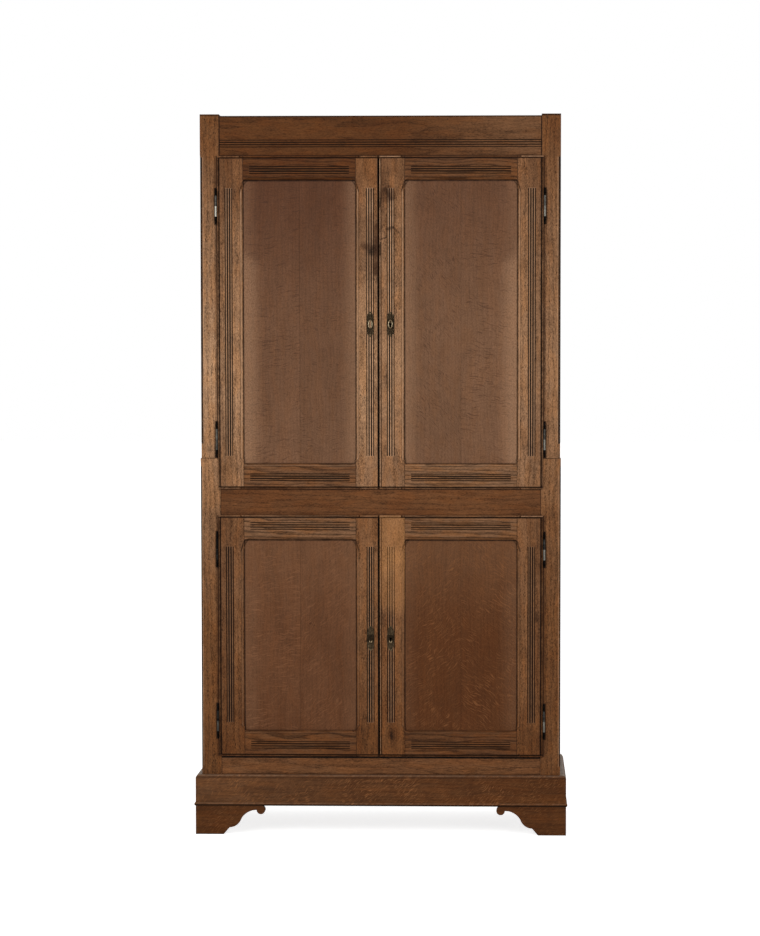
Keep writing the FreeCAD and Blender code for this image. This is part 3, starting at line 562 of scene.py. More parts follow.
def stileMarks(case, side, topWear):
    low, high = panels[case]
    inner, outer = corners
    # the chamfers' pale strips are wear and painted highlight
    crest, wear = doorMarks["crest"][case], doorMarks["chamferStrip"][case]
    chamfers = (inFrame, ("z", low + 0.012, high - 0.026))
    beads = (onFace, ("z", lips[case][0] + doorMarks["bead"], lips[case][1] - doorMarks["bead"]))
    marks = reedMarks("side", doorMarks["hingeReeds"], (), crest * 0.7)
    marks += reedMarks("side", doorMarks["meetingReeds"][side], (), crest)
    marks += chamferMarks("side", inner, -1, chamfers, glow=wear)
    marks += chamferMarks("side", outer, 1, chamfers, glow=wear)
    marks.append(between("side", 0.452, 0.4885, 0.006, 0.3, "umber", (onFace,), broken=0.5))
    for corner, outwards in ((inner, -1), (outer, 1)):
        for level, upwards, reach, strength in ((low, 1, 0.018, 0.4), (high, -1, 0.034, 0.75)):
            marks.append(cornerStroke(corner + outwards * 0.0095, level + upwards * reach,
                                      corner + outwards * 0.001, level + upwards * 0.004, strength))
    # painted shade and grime on the bead and quirk of the hinge side
    marks += edgeMarks("side", lipEdge, -1, beads, 0.8, 1.0, "umber")
    if side == "right":
        plate = doors[case, side] + "_escutcheon"
        # the pale meeting bead is wear and painted highlight
        marks += edgeMarks("x", meetingEdges[side], 1, beads, doorMarks["meetingBead"][case], 0.4)
        marks += gapMarks(meetingEdges[side], 0.0017, 0.5, 0.05, 0.7)
        # painted shade: black behind the keyhole
        marks.append(spot(middle(plate, "x"), middle(plate, "z") - 0.003, 0.012, 1.0, "black", broken=0.0))
    else:
        marks += gapMarks(meetingEdges[side], 0.0032, 0.6, 0.1, 0.5)
    return marks + lipMarks(case, topWear)


def railMarks(case):
    low, high = panels[case]
    inner, outer = corners
    chamfers = (inFrame, ("side", inner + 0.002, outer - 0.002))
    grooves = doorMarks["railGrooves"][case]
    marks = []
    for level in doorMarks["railReeds"][case]:
        marks += reedMarks("z", level, (("side", inner, outer),), 0.04, grooves, "amber")
    # painted shadow on the chamfer above the panel, lighter painted shade on the one beneath it
    marks += chamferMarks("z", high, 1, chamfers, 0.95, 0.0)
    marks += chamferMarks("z", low, -1, chamfers, *doorMarks["footChamfer"][case])
    return marks + lipMarks(case, 0.0)


def panelMarks(case):
    low, high = panels[case]
    inner, outer = corners
    glow = doorMarks["panelGlow"][case]
    rubbed = dict(ink="pale", within=(before(0.014),), chips=1)
    return [between("side", 0.422, 0.43, 0.055, glow * 0.5, broken=0.7, **rubbed),
            stroke(0.424, low + 0.03, 0.424, low + (high - low) * 0.68, 0.075, glow * 0.8, axis="side",
                   wave=0.0, broken=0.7, **rubbed),
            between("side", 0.05, 0.07, 0.06, glow * 0.8, broken=0.6, **rubbed),
            # painted shade round the panel's edges, a painted shadow strongest under the top rail and weakest
            # at the foot
            line("side", inner, 0.0028, 0.8), line("side", outer, 0.0028, 0.8),
            line("z", high, 0.0045, 0.8, core=0.35), line("z", low, 0.003, 0.3),
            *[cornerStroke(edge + turn * 0.001, high - 0.014, edge + turn * 0.011, high - 0.001, 0.55)
              for edge, turn in ((inner, 1), (outer, -1))]]


print("marks laid out")


def finishEdges(piece, bevel, angle=40):
    # smooth faces, rounded edges where the surface turns by more than the angle in degrees, even shading
    mesh = piece.data
    mesh.polygons.foreach_set("use_smooth", np.ones(len(mesh.polygons), bool))
    if bevel:
        soft = piece.modifiers.new("softEdges", "BEVEL")
        soft.width = bevel
        soft.segments = 2
        soft.limit_method = "ANGLE"
        soft.angle_limit = math.radians(angle)
    piece.modifiers.new("evenNormals", "WEIGHTED_NORMAL").keep_sharp = True


def dress(node, material, bevel=0.0007):
    # a CAD node gets its finish and softened edges
    piece = nodes[node]
    piece.material_slots[0].material = material
    piece.modifiers.new("weld", "WELD").merge_threshold = 0.00001
    finishEdges(piece, bevel)


def dressOak(node, kind, seed, bevel=0.0007, **extra):
    # a wooden node in oak of its own, named after it
    first, *rest = (node + "_oak").split("_")
    dress(node, oak(first + "".join(word.title() for word in rest), kind, seed, **extra), bevel)


# Case: posts, rails, plinth and feet

nailRow = 2.184             # level of the nail heads in the frieze and the posts beside it
nailHead = 0.0024
# Painted light: the posts are lighter towards the cupboard's mid-height, the left ones more than the right.
postFinish = {
    ("upper", "left"): dict(seed=15.2, sun=[(1.15, 0.48), (1.45, 0.7), (1.75, 0.4), (2.2, 0.02)]),
    ("upper", "right"): dict(seed=17.5, sun=[(1.15, 0.28), (1.45, 0.42), (1.75, 0.26), (2.2, 0.03)]),
    ("lower", "left"): dict(seed=10.2, sun=[(0.18, 0.03), (0.6, 0.05), (0.95, 0.26), (1.16, 0.44)]),
    ("lower", "right"): dict(seed=12.5, sun=[(0.18, 0.05), (0.6, 0.04), (0.95, 0.12), (1.16, 0.2)]),
}
postChamfers = {"upper": (0.0075, 1.2, 2.07), "lower": (0.0045, 0.21, 1.13)}     # width, foot and top
seam = span("upper_post_right", "z")[0]


def nailHeads(places):
    return [spot(x, nailRow, nailHead, 0.85, broken=0.0) for x in places]


def postMarks(case):
    # painted shadow and grime beside the lipped doors and the hinges, a darkened outer chamfer with a worn
    # arris, dark joints
    beside = ("z", *lips[case])
    onFront = ("y", -1.0, frontFace + 0.0006)
    chamfer, foot, top = postChamfers[case]
    inner, outer = span(case + "_post_right", "x")
    arris = outer - chamfer
    inChamfer = ("z", foot, top)
    # painted shadow and grime beside the doors' lips
    marks = [line("side", lipEdge + 0.0015, 0.0026, 0.9, "dirt", (beside, onFront), broken=0.15),
             line("side", lipEdge + 0.0045, 0.006, 0.5, "umber", (beside, onFront)),
             between("side", arris + 0.0005, 0.560, 0.0006, 0.92, "dirt",
                     (inChamfer, ("y", -1.0, frontFace + 0.0085)), broken=0.15),
             line("side", arris - 0.001, 0.0024, 0.3, "pale", (inChamfer, onFront), broken=0.5),
             line("z", seam, 0.0017, 0.85, broken=0.4)]
    for level in hingeLevels[case]:
        near = ("z", level - hingeReach - 0.001, level + hingeReach + 0.001)
        # painted shade and grime beside the hinges' knuckles
        marks.append(line("side", hingeAxis[0], 0.0085, 0.8, "dirt", (near, onFront), broken=0.2, core=0.5))
    if case == "upper":
        postTop = span("upper_post_right", "z")[1]
        marks += nailHeads((-0.534, 0.535)) + [line("z", postTop - 0.0032, 0.0034, 0.85),
                                               line("side", inner + 0.0003, 0.0016, 0.9, broken=0.1)]
    return marks


for case, side in doors:
    dressOak(case + "_post_" + side, "post", marks=postMarks(case), wear=0.2,
             pith=(-800.0 if side == "left" else 800.0, -190.0, 0.0), **postFinish[case, side])

openingEdge = span("upper_post_right", "x")[0]
plinthFoot, plinthTop = span("plinth_front", "z")
friezeFace = span("top_rail", "y")[0]
friezeReeds = (("z", 2.0998, 2.1232),)
besidePosts = line("side", openingEdge - 0.001, 0.0018, 0.7, broken=0.2)
# Painted light: each case rail is lightened by stops along x.
caseRails = {
    "top_rail": dict(kind="frieze", seed=5.0, sun=[(-0.5, 0.0), (0.0, 0.0), (0.5, 0.12)], marks=[
        # painted shade and soot in the frieze's grooves
        between("y", friezeFace + 0.0006, friezeFace + 0.003, 0.0002, 0.95, "soot", friezeReeds, broken=0.1),
        *nailHeads((-0.286, -0.170, -0.083, 0.005, 0.205, 0.440)),
        line("z", span("top_rail", "z")[1] - 0.0022, 0.0026, 0.8, broken=0.2),
        line("side", openingEdge - 0.0007, 0.0022, 0.9, broken=0.1),
        # painted shade on the frieze along the top of the upper doors' lips
        line("z", lips["upper"][1] + 0.001, 0.0022, 0.85, broken=0.2)]),
    "mid_rail": dict(kind="caseRail", seed=6.0, sun=[(-0.5, 0.02), (0.5, 0.02)], marks=[
        # painted shadow under the upper doors' lips; painted shade along the top of the lower doors' lips
        line("z", lips["upper"][0] - 0.001, 0.0022, 0.85, broken=0.2),
        line("z", lips["lower"][1] + 0.0012, 0.002, 0.5), besidePosts]),
    "bottom_rail": dict(kind="caseRail", seed=7.0, streak=1.2, sun=[(-0.5, 0.07), (0.5, 0.05)], marks=[
        # painted shadow, black, under the lower doors' lips; painted shade in the corner above the plinth
        line("z", lips["lower"][0] - 0.0031, 0.0034, 1.0, "black", broken=0.1, core=0.6),
        line("z", plinthTop + 0.001, 0.0022, 0.6), besidePosts]),
}
for node, finish in caseRails.items():
    dressOak(node, sunAxis="x", wear=0.08, stain=0.15, **finish)

# darker along the floor
darkAtFloor = between("z", 0.0, 0.0005, 0.003, 0.8)
# painted shade under the top moulding and under the bead at the foot; a broken line of dust on the ledge
plinthMarks = [line("z", plinthTop - 0.0077, 0.004, 0.55, "umber"),
               line("z", plinthTop - 0.002, 0.0022, 0.15, "dust", broken=0.8), darkAtFloor,
               line("z", plinthFoot + 0.0015, 0.0046, 0.9, "soot", broken=0.1, core=0.5)]
# painted light along x, a little more on the left
dressOak("plinth_front", "plinth", 8.0, sunAxis="x", sun=[(-0.57, 0.08), (0.0, 0.03), (0.57, 0.0)],
         marks=plinthMarks, dust=0.1, wear=0.1)
for side in ("left", "right"):
    dressOak("plinth_side_" + side, "plinth", 9.0, grain="y", marks=plinthMarks, dust=0.9, wear=0.2)
    dressOak("foot_front_" + side, "plinth", 10.0, rays=0.4, marks=[darkAtFloor], wear=0.15)
dressOak("rear_feet", "plinth", 11.0, bevel=0, grain="y", rays=0.1)
dressOak("plinth_back", "inside", 12.0)

backBoards = {"width": 0.1725, "count": 6, "nailHead": 0.0034, "nailInset": 0.034, "endInset": 0.016}
for case in cases:
    dressOak(case + "_rear_posts", "side", 13.0)
    dressOak(case + "_side_rails", "side", 14.0, grain="y")
    dressOak(case + "_side_panels", "side", 15.0)
    low, high = span(case + "_back_boards", "z", backBoards["endInset"])
    nails = [spot(backBoards["nailInset"], level, backBoards["nailHead"], 0.9, axis="joint", broken=0.0)
             for level in (low, (low + high) / 2, high)]
    dressOak(case + "_back_boards", "backBoard", 16.0, marks=nails, boardShift=0.25,
             boards=(backBoards["width"], -backBoards["width"] * backBoards["count"] / 2))
for index, node in enumerate(("bottom_board", "middle_board", "lower_shelf", "upper_shelves", "top_board")):
    dressOak(node, "inside", 20.0 + index, dust=0.4 if node == "top_board" else 0.1)
dressOak("shelf_bearers", "inside", 26.0, grain="y")
dressOak("locating_pegs", "inside", 27.0, grain="z")
print("case dressed")


# Doors: the finish of each door's pieces, with its own stains and knots

rough = dict(broken=0.5, chips=1)
# The stops of stiles, rails and panels paint light along their height, mostly lightest towards the cupboard's
# mid-height.
doorFinish = {
    ("upper", "left"): dict(
        topWear=0.0,
        stiles=dict(sun=[(1.06, 0.33), (1.4, 0.57), (1.75, 0.35), (2.07, 0.06)]),
        rails=dict(sun=[(1.0, 0.14), (1.5, 0.04), (2.1, 0.0)]),
        panel=dict(sun=[(1.13, 0.12), (1.5, 0.09), (2.0, 0.0)], tilt=0.1, tiltStep=-0.15, rays=0.6, fine=1.05,
                   fleck=(66, 41, 29)),
        stains=[spot(-0.03, 1.80, 0.13, 0.35, "umber"),
                stroke(-0.05, 1.80, -0.03, 1.795, 0.016, 0.6, "umber"),
                stroke(-0.026, 1.782, -0.010, 1.796, 0.017, 0.8, "soot", **rough),
                stroke(-0.012, 1.72, -0.010, 1.86, 0.013, 0.75, "umber"),
                stroke(-0.012, 1.69, -0.009, 1.705, 0.003, 0.6)]),
    ("upper", "right"): dict(
        topWear=0.5,
        stiles=dict(sun=[(1.06, 0.31), (1.4, 0.44), (1.75, 0.33), (2.07, 0.12)],
                    knots=[((0.0235, doorFace, 1.953), 0.007, 0.5)]),
        rails=dict(sun=[(1.0, 0.27), (1.5, 0.1), (2.1, 0.06)]),
        panel=dict(sun=[(1.13, 0.13), (1.5, 0.14), (2.0, 0.05)], tilt=-0.85, tiltStep=0.7, rays=0.6,
                   fine=1.05, fleck=(68, 43, 30)),
        stains=[stroke(0.001, 1.820, 0.021, 1.828, 0.0034, 0.75),
                stroke(0.022, 1.853, 0.040, 1.857, 0.007, 0.7, **rough),
                stroke(0.040, 1.857, 0.056, 1.841, 0.005, 0.5, **rough),
                stroke(0.000, 1.92, 0.002, 1.946, 0.004, 0.8), stroke(0.000, 1.775, 0.001, 1.81, 0.004, 0.8),
                spot(0.022, 1.958, 0.034, 0.55, "umber"), stroke(0.016, 1.972, 0.034, 1.945, 0.010, 0.55)]),
    ("lower", "left"): dict(
        topWear=0.1,
        stiles=dict(sun=[(0.24, -0.02), (0.5, 0.08), (0.8, 0.14), (0.98, 0.1)]),
        rails=dict(sun=[(0.2, 0.06), (0.6, 0.0), (1.0, 0.22)]),
        panel=dict(sun=[(0.31, 0.0), (0.6, 0.01), (0.91, 0.06)], tilt=0.1, tiltStep=0.6, rays=0.42,
                   fleck=(146, 98, 66), dark=(96, 60, 37), light=(110, 71, 46)),
        stains=[spot(-0.03, 0.29, 0.07, 0.25, "umber")],
        panelStains=[spot(-0.215, 0.649, 0.005, 0.5), spot(-0.204, 0.643, 0.003, 0.5)]),
    ("lower", "right"): dict(
        topWear=0.3,
        stiles=dict(sun=[(0.24, -0.03), (0.5, 0.08), (0.8, 0.14), (0.98, 0.14)],
                    knots=[((0.033, doorFace, 0.305), 0.011, 0.9), ((0.485, doorFace, 0.83), 0.01, 0.6),
                           ((0.478, doorFace, 0.67), 0.01, 0.5)]),
        rails=dict(sun=[(0.2, 0.05), (0.6, 0.0), (1.0, 0.2)]),
        panel=dict(sun=[(0.31, 0.0), (0.6, 0.0), (0.91, 0.08)], tilt=0.7, tiltStep=-1.3, rays=0.5,
                   fleck=(146, 94, 56), dark=(87, 50, 25), light=(97, 58, 31)),
        stains=[spot(0.05, 0.96, 0.2, 0.3, "amber", broken=0.7, chips=1),
                spot(0.055, 0.78, 0.12, 0.25, "amber", broken=0.6, chips=1)]),
}

for index, ((case, side), door) in enumerate(doors.items()):
    finish = doorFinish[case, side]
    dressOak(door + "_stiles", "stile", 30.0 + 1.7 * index, wear=0.2,
             marks=stileMarks(case, side, finish["topWear"]) + finish["stains"], **finish["stiles"])
    dressOak(door + "_rails", "doorRail", 40.0 + 1.3 * index, wear=0.05, stain=0.1, marks=railMarks(case),
             **finish["rails"])
    boards = ((corners[1] - corners[0]) / 2, corners[0] if side == "right" else -corners[1])
    dressOak(door + "_panel", "panel", 50.0 + 2.1 * index, boards=boards, boardShift=0.04, glueLine=0.3,
             stain=0.12, marks=panelMarks(case) + finish.get("panelStains", []), **finish["panel"])
print("doors dressed")


# Metal finishes

def metal(name, tones, roughness, scale=90.0):
    # tones: [(share, colour)...] from the deepest and darkest to the most worn; on the escutcheons the share
    # also holds painted highlight. The share is the piece's own tone attribute where it has one, moved up and
    # down by small patches.
    material, tree = newMaterial(name)
    place = tree.nodes.new("ShaderNodeTexCoord").outputs["Object"]
    patch = times(minus(grit(place, scale, 4.0, 0.65), 0.5), 0.5)
    worn = tree.nodes.new("ShaderNodeAttribute")
    worn.attribute_name = "tone"
    share = calc("ADD", worn.outputs["Fac"], patch, clamp=True)
    color = colorScale(share, [(where, srgb(*tone)) for where, tone in tones])
    bump = put("Bump", {"Height": grit(place, scale * 6, 3.0), "Strength": 0.25, "Distance": 0.0002})
    fill(tree.nodes["Principled BSDF"], {
        "Base Color": color, "Metallic": 1.0, "Normal": bump.outputs[0],
        "Roughness": ramp(share, 0.0, 1.0, roughness + 0.15, roughness - 0.05)})
    return material


steel = metal("hingeSteel", [(0.0, (12, 11, 10)), (0.25, (26, 25, 24)), (0.5, (76, 73, 68)),
                             (1.0, (168, 164, 152))], 0.36)
brass = metal("agedBrass", [(0.0, (22, 16, 9)), (0.25, (58, 47, 35)), (0.6, (128, 108, 80)),
                            (1.0, (222, 206, 170))], 0.42, 220.0)
iron = metal("lockIron", [(0.0, (74, 66, 58)), (0.3, (100, 92, 82)), (0.6, (124, 116, 104)),
                          (1.0, (176, 168, 152))], 0.45, 60.0)


# Surfaces computed as arrays, in metres

def skin(rows, wrapped=False):
    # Rows of points round an axis, joined by quads from row to row and round each row. Open ends are
    # closed by a fan about their middle; a wrapped skin joins its last row to its first.
    count, around = rows.shape[:2]
    index = np.arange(count * around).reshape(count, around)
    first = index if wrapped else index[:-1]
    second = np.roll(index, -1, 0) if wrapped else index[1:]
    quads = np.stack([first, np.roll(first, -1, 1), np.roll(second, -1, 1), second], -1)
    faces = quads.reshape(-1, 4).tolist()
    points = rows.reshape(-1, 3)
    if not wrapped:
        points = np.vstack([points, rows[0].mean(0), rows[-1].mean(0)])
        for ring, pole in ((index[0], count * around), (index[-1], count * around + 1)):
            faces += np.stack([ring, np.roll(ring, -1), np.full(around, pole)], -1).tolist()
    return points, faces


def eased(keys, steps=6):
    # a profile through keys of (radius, height): radius follows half a cosine wave from key to key
    keys = np.array(keys, float)
    phase = np.linspace(0, len(keys) - 1, (len(keys) - 1) * steps + 1)
    cell = np.minimum(phase.astype(int), len(keys) - 2)
    share = phase - cell
    radius = keys[cell, 0] + (keys[cell + 1, 0] - keys[cell, 0]) * (1 - np.cos(np.pi * share)) / 2
    height = keys[cell, 1] + (keys[cell + 1, 1] - keys[cell, 1]) * share
    return np.stack([radius, height], -1)


def turned(profile, place, sides=28):
    # a profile of (radius, height) carried round the upright axis at place: x and y are the radius
    # times the cosine and sine of the angle
    angle = np.linspace(0, 2 * np.pi, sides, endpoint=False)
    radius, height = np.asarray(profile, float).T
    rows = np.stack([radius[:, None] * np.cos(angle), radius[:, None] * np.sin(angle),
                     np.repeat(height[:, None], sides, 1)], -1)
    return skin(rows + np.array(place))


def slab(low, high):
    # the box between two corners, as two four-point rows closed at both ends
    (x0, y0, z0), (x1, y1, z1) = low, high
    ring = np.array([(x0, y0), (x1, y0), (x1, y1), (x0, y1)])
    rows = np.stack([np.column_stack([ring, np.full(4, z)]) for z in (z0, z1)])
    return skin(rows)


def addObject(name, data):
    made = bpy.data.objects.new(name, data)
    scene.collection.objects.link(made)
    return made


def makePiece(name, parts, material, body, replaced=(), bevel=0.0002, angle=40):
    # parts: [(points, faces, tone)...], tone a number or one value for each point
    points, faces, tones, start = [], [], [], 0
    for partPoints, partFaces, tone in parts:
        points.append(partPoints)
        faces += [[start + corner for corner in face] for face in partFaces]
        tones.append(np.broadcast_to(np.asarray(tone, float), (len(partPoints),)))
        start += len(partPoints)
    mesh = bpy.data.meshes.new(name)
    mesh.from_pydata(np.vstack(points).tolist(), [], faces)
    shaped = bmesh.new()
    shaped.from_mesh(mesh)
    bmesh.ops.recalc_face_normals(shaped, faces=shaped.faces)
    shaped.to_mesh(mesh)
    shaped.free()
    toneLayer = mesh.attributes.new("tone", "FLOAT", "POINT")
    toneLayer.data.foreach_set("value", np.concatenate(tones).astype(np.float32))
    mesh.materials.append(material)
    piece = addObject(name, mesh)
    finishEdges(piece, bevel, angle)
    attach(piece, body)
    for node in replaced:
        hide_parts(node)


# Hinges: each half is a turned finial and knuckle with a leaf; the lower half carries the pin

hinge = {
    "length": 0.032, "pin": 0.0022, "bore": 0.00227, "pinLength": 0.024, "leafReach": 0.032,
    "leafLevels": (0.002, 0.030), "doorLeaf": (0.0022, 0.0036), "frameLeafHalf": 0.0007,
    "finialKeys": [(0.0003, 0.0), (0.0021, 0.0007), (0.0027, 0.0024), (0.0019, 0.0044), (0.0026, 0.0080),
                   (0.0034, 0.0140), (0.0026, 0.0192), (0.0026, 0.0201), (0.0033, 0.0210), (0.0033, 0.0222),
                   (0.0036, 0.0230)],
    "finialTone": 0.05, "pinTone": 0.7, "leafTone": 0.35,
    # tone of the upper and the lower knuckle, for the lower and the upper hinge of each door
    "tones": {("upper", "left"): ((0.52, 0.5), (0.42, 0.86)), ("lower", "left"): ((0.3, 0.5), (0.15, 0.25)),
              ("upper", "right"): ((0.42, 0.66), (0.45, 0.62)),
              ("lower", "right"): ((0.42, 0.66), (0.35, 0.68))},
}


def hingeHalf(mirror, level, upwards, tone):
    # finial and knuckle as one closed turned skin, dark on the finial, and a leaf as a plain slab
    x, y = mirror * hingeAxis[0], hingeAxis[1]
    length, pinLength, (leafFoot, leafTop) = hinge["length"], hinge["pinLength"], hinge["leafLevels"]
    finial = eased(hinge["finialKeys"])
    finial = np.stack([finial[:, 0], hingeReach - finial[:, 1]], -1)
    barrel = [(knuckle, length - 0.0005), (knuckle, length * 0.5), (knuckle, hingeGap)]
    if upwards:
        barrel += [(hinge["bore"], hingeGap), (hinge["bore"], pinLength + 0.001), (0.0001, pinLength + 0.001)]
    profile = np.vstack([finial, barrel]) * (1, 1 if upwards else -1)
    points, faces = turned(profile, (x, y, level))
    onFinial = np.abs(points[:, 2] - level) > length - 0.0004
    parts = [(points, faces, np.where(onFinial, hinge["finialTone"], tone))]
    if upwards:
        front, back = hinge["doorLeaf"]
        leaf = slab((x - mirror * hinge["leafReach"], y + front, level + leafFoot),
                    (x, y + back, level + leafTop))
    else:
        half = hinge["frameLeafHalf"]
        leaf = slab((x - half, y, level - leafTop), (x + half, y + hinge["leafReach"], level - leafFoot))
        pin = [(hinge["pin"], -0.002), (hinge["pin"], pinLength - 0.0006), (hinge["pin"] * 0.7, pinLength)]
        parts.append((*turned(pin, (x, y, level)), hinge["pinTone"]))
    return parts + [(*leaf, hinge["leafTone"])]


frameHalves = []
for (case, side), door in doors.items():
    mirror = 1 if side == "right" else -1
    doorHalves = []
    for level, (upperTone, lowerTone) in zip(hingeLevels[case], hinge["tones"][case, side]):
        doorHalves += hingeHalf(mirror, level, True, upperTone)
        frameHalves += hingeHalf(mirror, level, False, lowerTone)
    makePiece(case + side.title() + "DoorHinges", doorHalves, steel, door,
              (door + "_hinge_leaves",))
makePiece("frameHinges", frameHalves, steel, "cabinet", ("frame_hinge_leaves",))
print("hinges made")


# Escutcheons: cast plates in relief round a keyhole or a slot, worked out in millimetres

escutcheon = {"thick": 1.1, "around": 168, "rows": 30, "slot": (2.7, 10.5), "bevel": 0.00012, "angle": 55}


def arc(x, z, radius, start, stop, steps=14):
    # points of a circle from one angle to another, in degrees
    angle = np.radians(np.linspace(start, stop, steps))
    return np.stack([x + radius * np.cos(angle), z + radius * np.sin(angle)], -1)


def fourWay(quarter):
    # one quarter, from its top to its right side, mirrored into a closed outline
    right = np.vstack([quarter, quarter[::-1] * (1, -1)])
    return np.vstack([right, right[::-1] * (-1, 1)])


def evenly(outline, count):
    # a closed outline resampled at equal lengths
    closed = np.vstack([outline, outline[:1]])
    walked = np.concatenate([[0], np.cumsum(np.hypot(*np.diff(closed, axis=0).T))])
    wanted = np.linspace(0, walked[-1], count, endpoint=False)
    return np.stack([np.interp(wanted, walked, closed[:, 0]), np.interp(wanted, walked, closed[:, 1])], -1)


def sameAngles(outline, centre, toward):
    # the points of a star-shaped outline that lie in the directions of toward, seen from centre
    x, z = (evenly(outline, 900) - centre).T
    wanted = np.arctan2(*(toward - centre).T[::-1])
    radius = np.interp(wanted, np.arctan2(z, x), np.hypot(x, z), period=2 * np.pi)
    return centre + np.stack([radius * np.cos(wanted), radius * np.sin(wanted)], -1)


def hump(distance, width):
    # a round ridge: 1 at distance 0, falling to 0 at width
    return np.clip(1 - (distance / width) ** 2, 0, 1)


def fade(share):
    # 0 below 0 and 1 above 1
    return np.clip(share, 0, 1)


def wave(angle):
    # a cosine wave between 0 and 1
    return 0.5 + 0.5 * np.cos(angle)


def upperRelief(x, z, edge):
    # raised edge, a high oval rim round the keyhole, shells above and below it, a button at each end
    height = np.abs(z)
    oval = np.hypot(x / 5.6, z / 11.6)
    rim = hump((oval - 1) * 6.5, 1.5)
    shell = wave(2 * np.pi * np.hypot(x, (height - 11.5) * 0.85) / 3.7) * fade((height - 13.5) / 2)
    flutes = wave(14 * np.arctan2(x, height - 9.0))
    button = hump(np.hypot(x, height - 32.4), 2.6)
    border = hump(edge - 0.7, 0.9)
    relief = (0.35 * border + 1.15 * rim + 0.45 * shell * (0.6 + 0.4 * flutes) + 0.6 * button
              - 0.25 * (oval < 0.85))
    # painted highlight: the rim's worn tone is brighter towards its sides
    flank = 0.35 + 0.65 * fade(np.abs(x) / np.maximum(oval, 0.1) / 5.6 * 1.3 - 0.3)
    tone = 0.1 + 0.14 * border + 0.85 * rim * flank + 0.3 * shell * flutes + 0.3 * button
    return relief, np.where(oval < 0.8, 0.2, tone)


def lowerRelief(x, z, edge):
    # leaves with chevron veins above and below, a curl under the keyhole bright with wear and painted
    # highlight, beads at the foot
    height = np.abs(z)
    curl = hump((np.hypot(x / 4.6, (z + 2.0) / 10.2) - 1) * 5.5, 1.6)
    low = fade((-z - 4.0) / 6.0)
    veins = wave(2 * np.pi * (height * 0.21 - np.abs(x) * 0.26)) * fade((height - 9.5) / 3)
    points = fade(np.cos(2.1 * x) * np.cos(1.35 * z + 0.6) - 0.35) * fade((height - 6) / 4)
    border = hump(edge - 0.7, 0.9)
    beads = border * wave(z * 2.6) * fade((-z - 18) / 5)
    relief = 0.3 * border + 0.5 * veins + 0.9 * curl * (0.35 + 0.65 * low) + 0.5 * points + 0.35 * beads
    # painted highlight: the curl is brightest towards its two ends
    bright = 0.75 * curl * low * np.clip(np.abs(x) / 3.4, 0.2, 1)
    return relief, 0.1 + 0.12 * border + 0.22 * veins + bright + 0.4 * points + 0.4 * beads


ovalHeight = 37.5 * np.cos(np.linspace(0, np.pi / 2, 24))
ovalWidth = 11.3 * (1 - (ovalHeight / 37.5) ** 2) ** 0.42
plates = {
    "upper": (fourWay(np.vstack([arc(0.0, 31.5, 6.3, 90, 2), arc(5.3, 25.4, 5.4, 80, 0)])), upperRelief),
    "lower": (fourWay(np.stack([ovalWidth, ovalHeight], -1)), lowerRelief),
}
keyhole = np.vstack([arc(0.0, 0.0, 3.3, -55, 235, 40), [(-2.0, -10.0), (2.0, -10.0)]])
slotOutline = fourWay(arc(0.0, 0.0, 1.0, 90, 0, 30) * escutcheon["slot"])


def escutcheonPlate(case, side):
    # Front rows run from the hole (or the middle) out to the edge, at a height given by the relief;
    # then the wall, the back, and the wall of the hole close the skin.
    outline, reliefOf = plates[case]
    outer = evenly(outline, escutcheon["around"])
    pierced = side == "right" or case == "upper"
    centre = np.array([0.0, -1.0 if side == "right" else 0.0])
    if pierced:
        inner = sameAngles(keyhole if side == "right" else slotOutline, centre, outer)
    else:
        inner = outer * 0.01
    share = np.linspace(0, 1, escutcheon["rows"])[:, None, None]
    flat = inner + (outer - inner) * share
    edge = (1 - share[..., 0]) * np.hypot(*(outer - inner).T) * 0.75
    relief, tone = reliefOf(flat[..., 0], flat[..., 1], edge)
    relief *= 1 - 0.999 * (share[..., 0] == 1)
    front = np.stack([flat[..., 0], -escutcheon["thick"] - relief, flat[..., 1]], -1)
    back = [np.stack([rim[:, 0], np.full(len(rim), 0.1), rim[:, 1]], -1) for rim in (outer, inner)]
    rows = np.concatenate([front, back])
    node = doors[case, side] + "_escutcheon"
    place = np.array([middle(node, "x"), doorFace, middle(node, "z")])
    points, faces = skin(rows / 1000 + place, wrapped=pierced)
    poles = np.zeros(len(points) - rows.shape[0] * rows.shape[1])
    return points, faces, np.concatenate([tone.ravel(), np.full(2 * len(outer), 0.1), poles])


for (case, side), door in doors.items():
    makePiece(case + side.title() + "Escutcheon", [escutcheonPlate(case, side)], brass, door,
              (door + "_escutcheon",), escutcheon["bevel"], escutcheon["angle"])
print("escutcheons made")


# Locks and slide bolts, with their screws

screws = {
    # radius of the heads; then for each screw its distance from the plate's left side, its level from the
    # plate's middle and the turn of its slot
    "lock_case": (0.0028, [(0.008, 0.030, 0.0), (0.040, 0.030, 0.7), (0.008, -0.030, 1.4),
                           (0.040, -0.030, 2.1)]),
    "lock_keeper": (0.0024, [(0.005, 0.013, 1.75), (0.005, -0.013, 0.45)]),
    "slideHead": 0.0018, "slideOffset": 0.0082, "slideShares": (0.22, 0.78), "slideSunk": 0.002,
    "slideTurn": 0.738,
}


def screwHead(x, y, z, radius, turn):
    # a low dome whose height falls as the square of the share of the radius, with a step down along one line
    share = np.array([0.02, 0.3, 0.6, 0.85, 1.0])[:, None]
    angle = np.linspace(0, 2 * np.pi, 16, endpoint=False)
    dome = radius * 0.28 * (1 - share ** 2) + radius * 0.12
    dome = np.where(np.abs(share * np.sin(angle + turn)) < 0.14, radius * 0.05, dome)
    front = np.stack([share * radius * np.cos(angle), dome, share * radius * np.sin(angle)], -1)
    foot = np.stack([radius * np.cos(angle), np.full(16, -0.0002), radius * np.sin(angle)], -1)[None]
    points, faces = skin(np.concatenate([front, foot]) + np.array((x, y, z)))
    return points, faces, 0.55


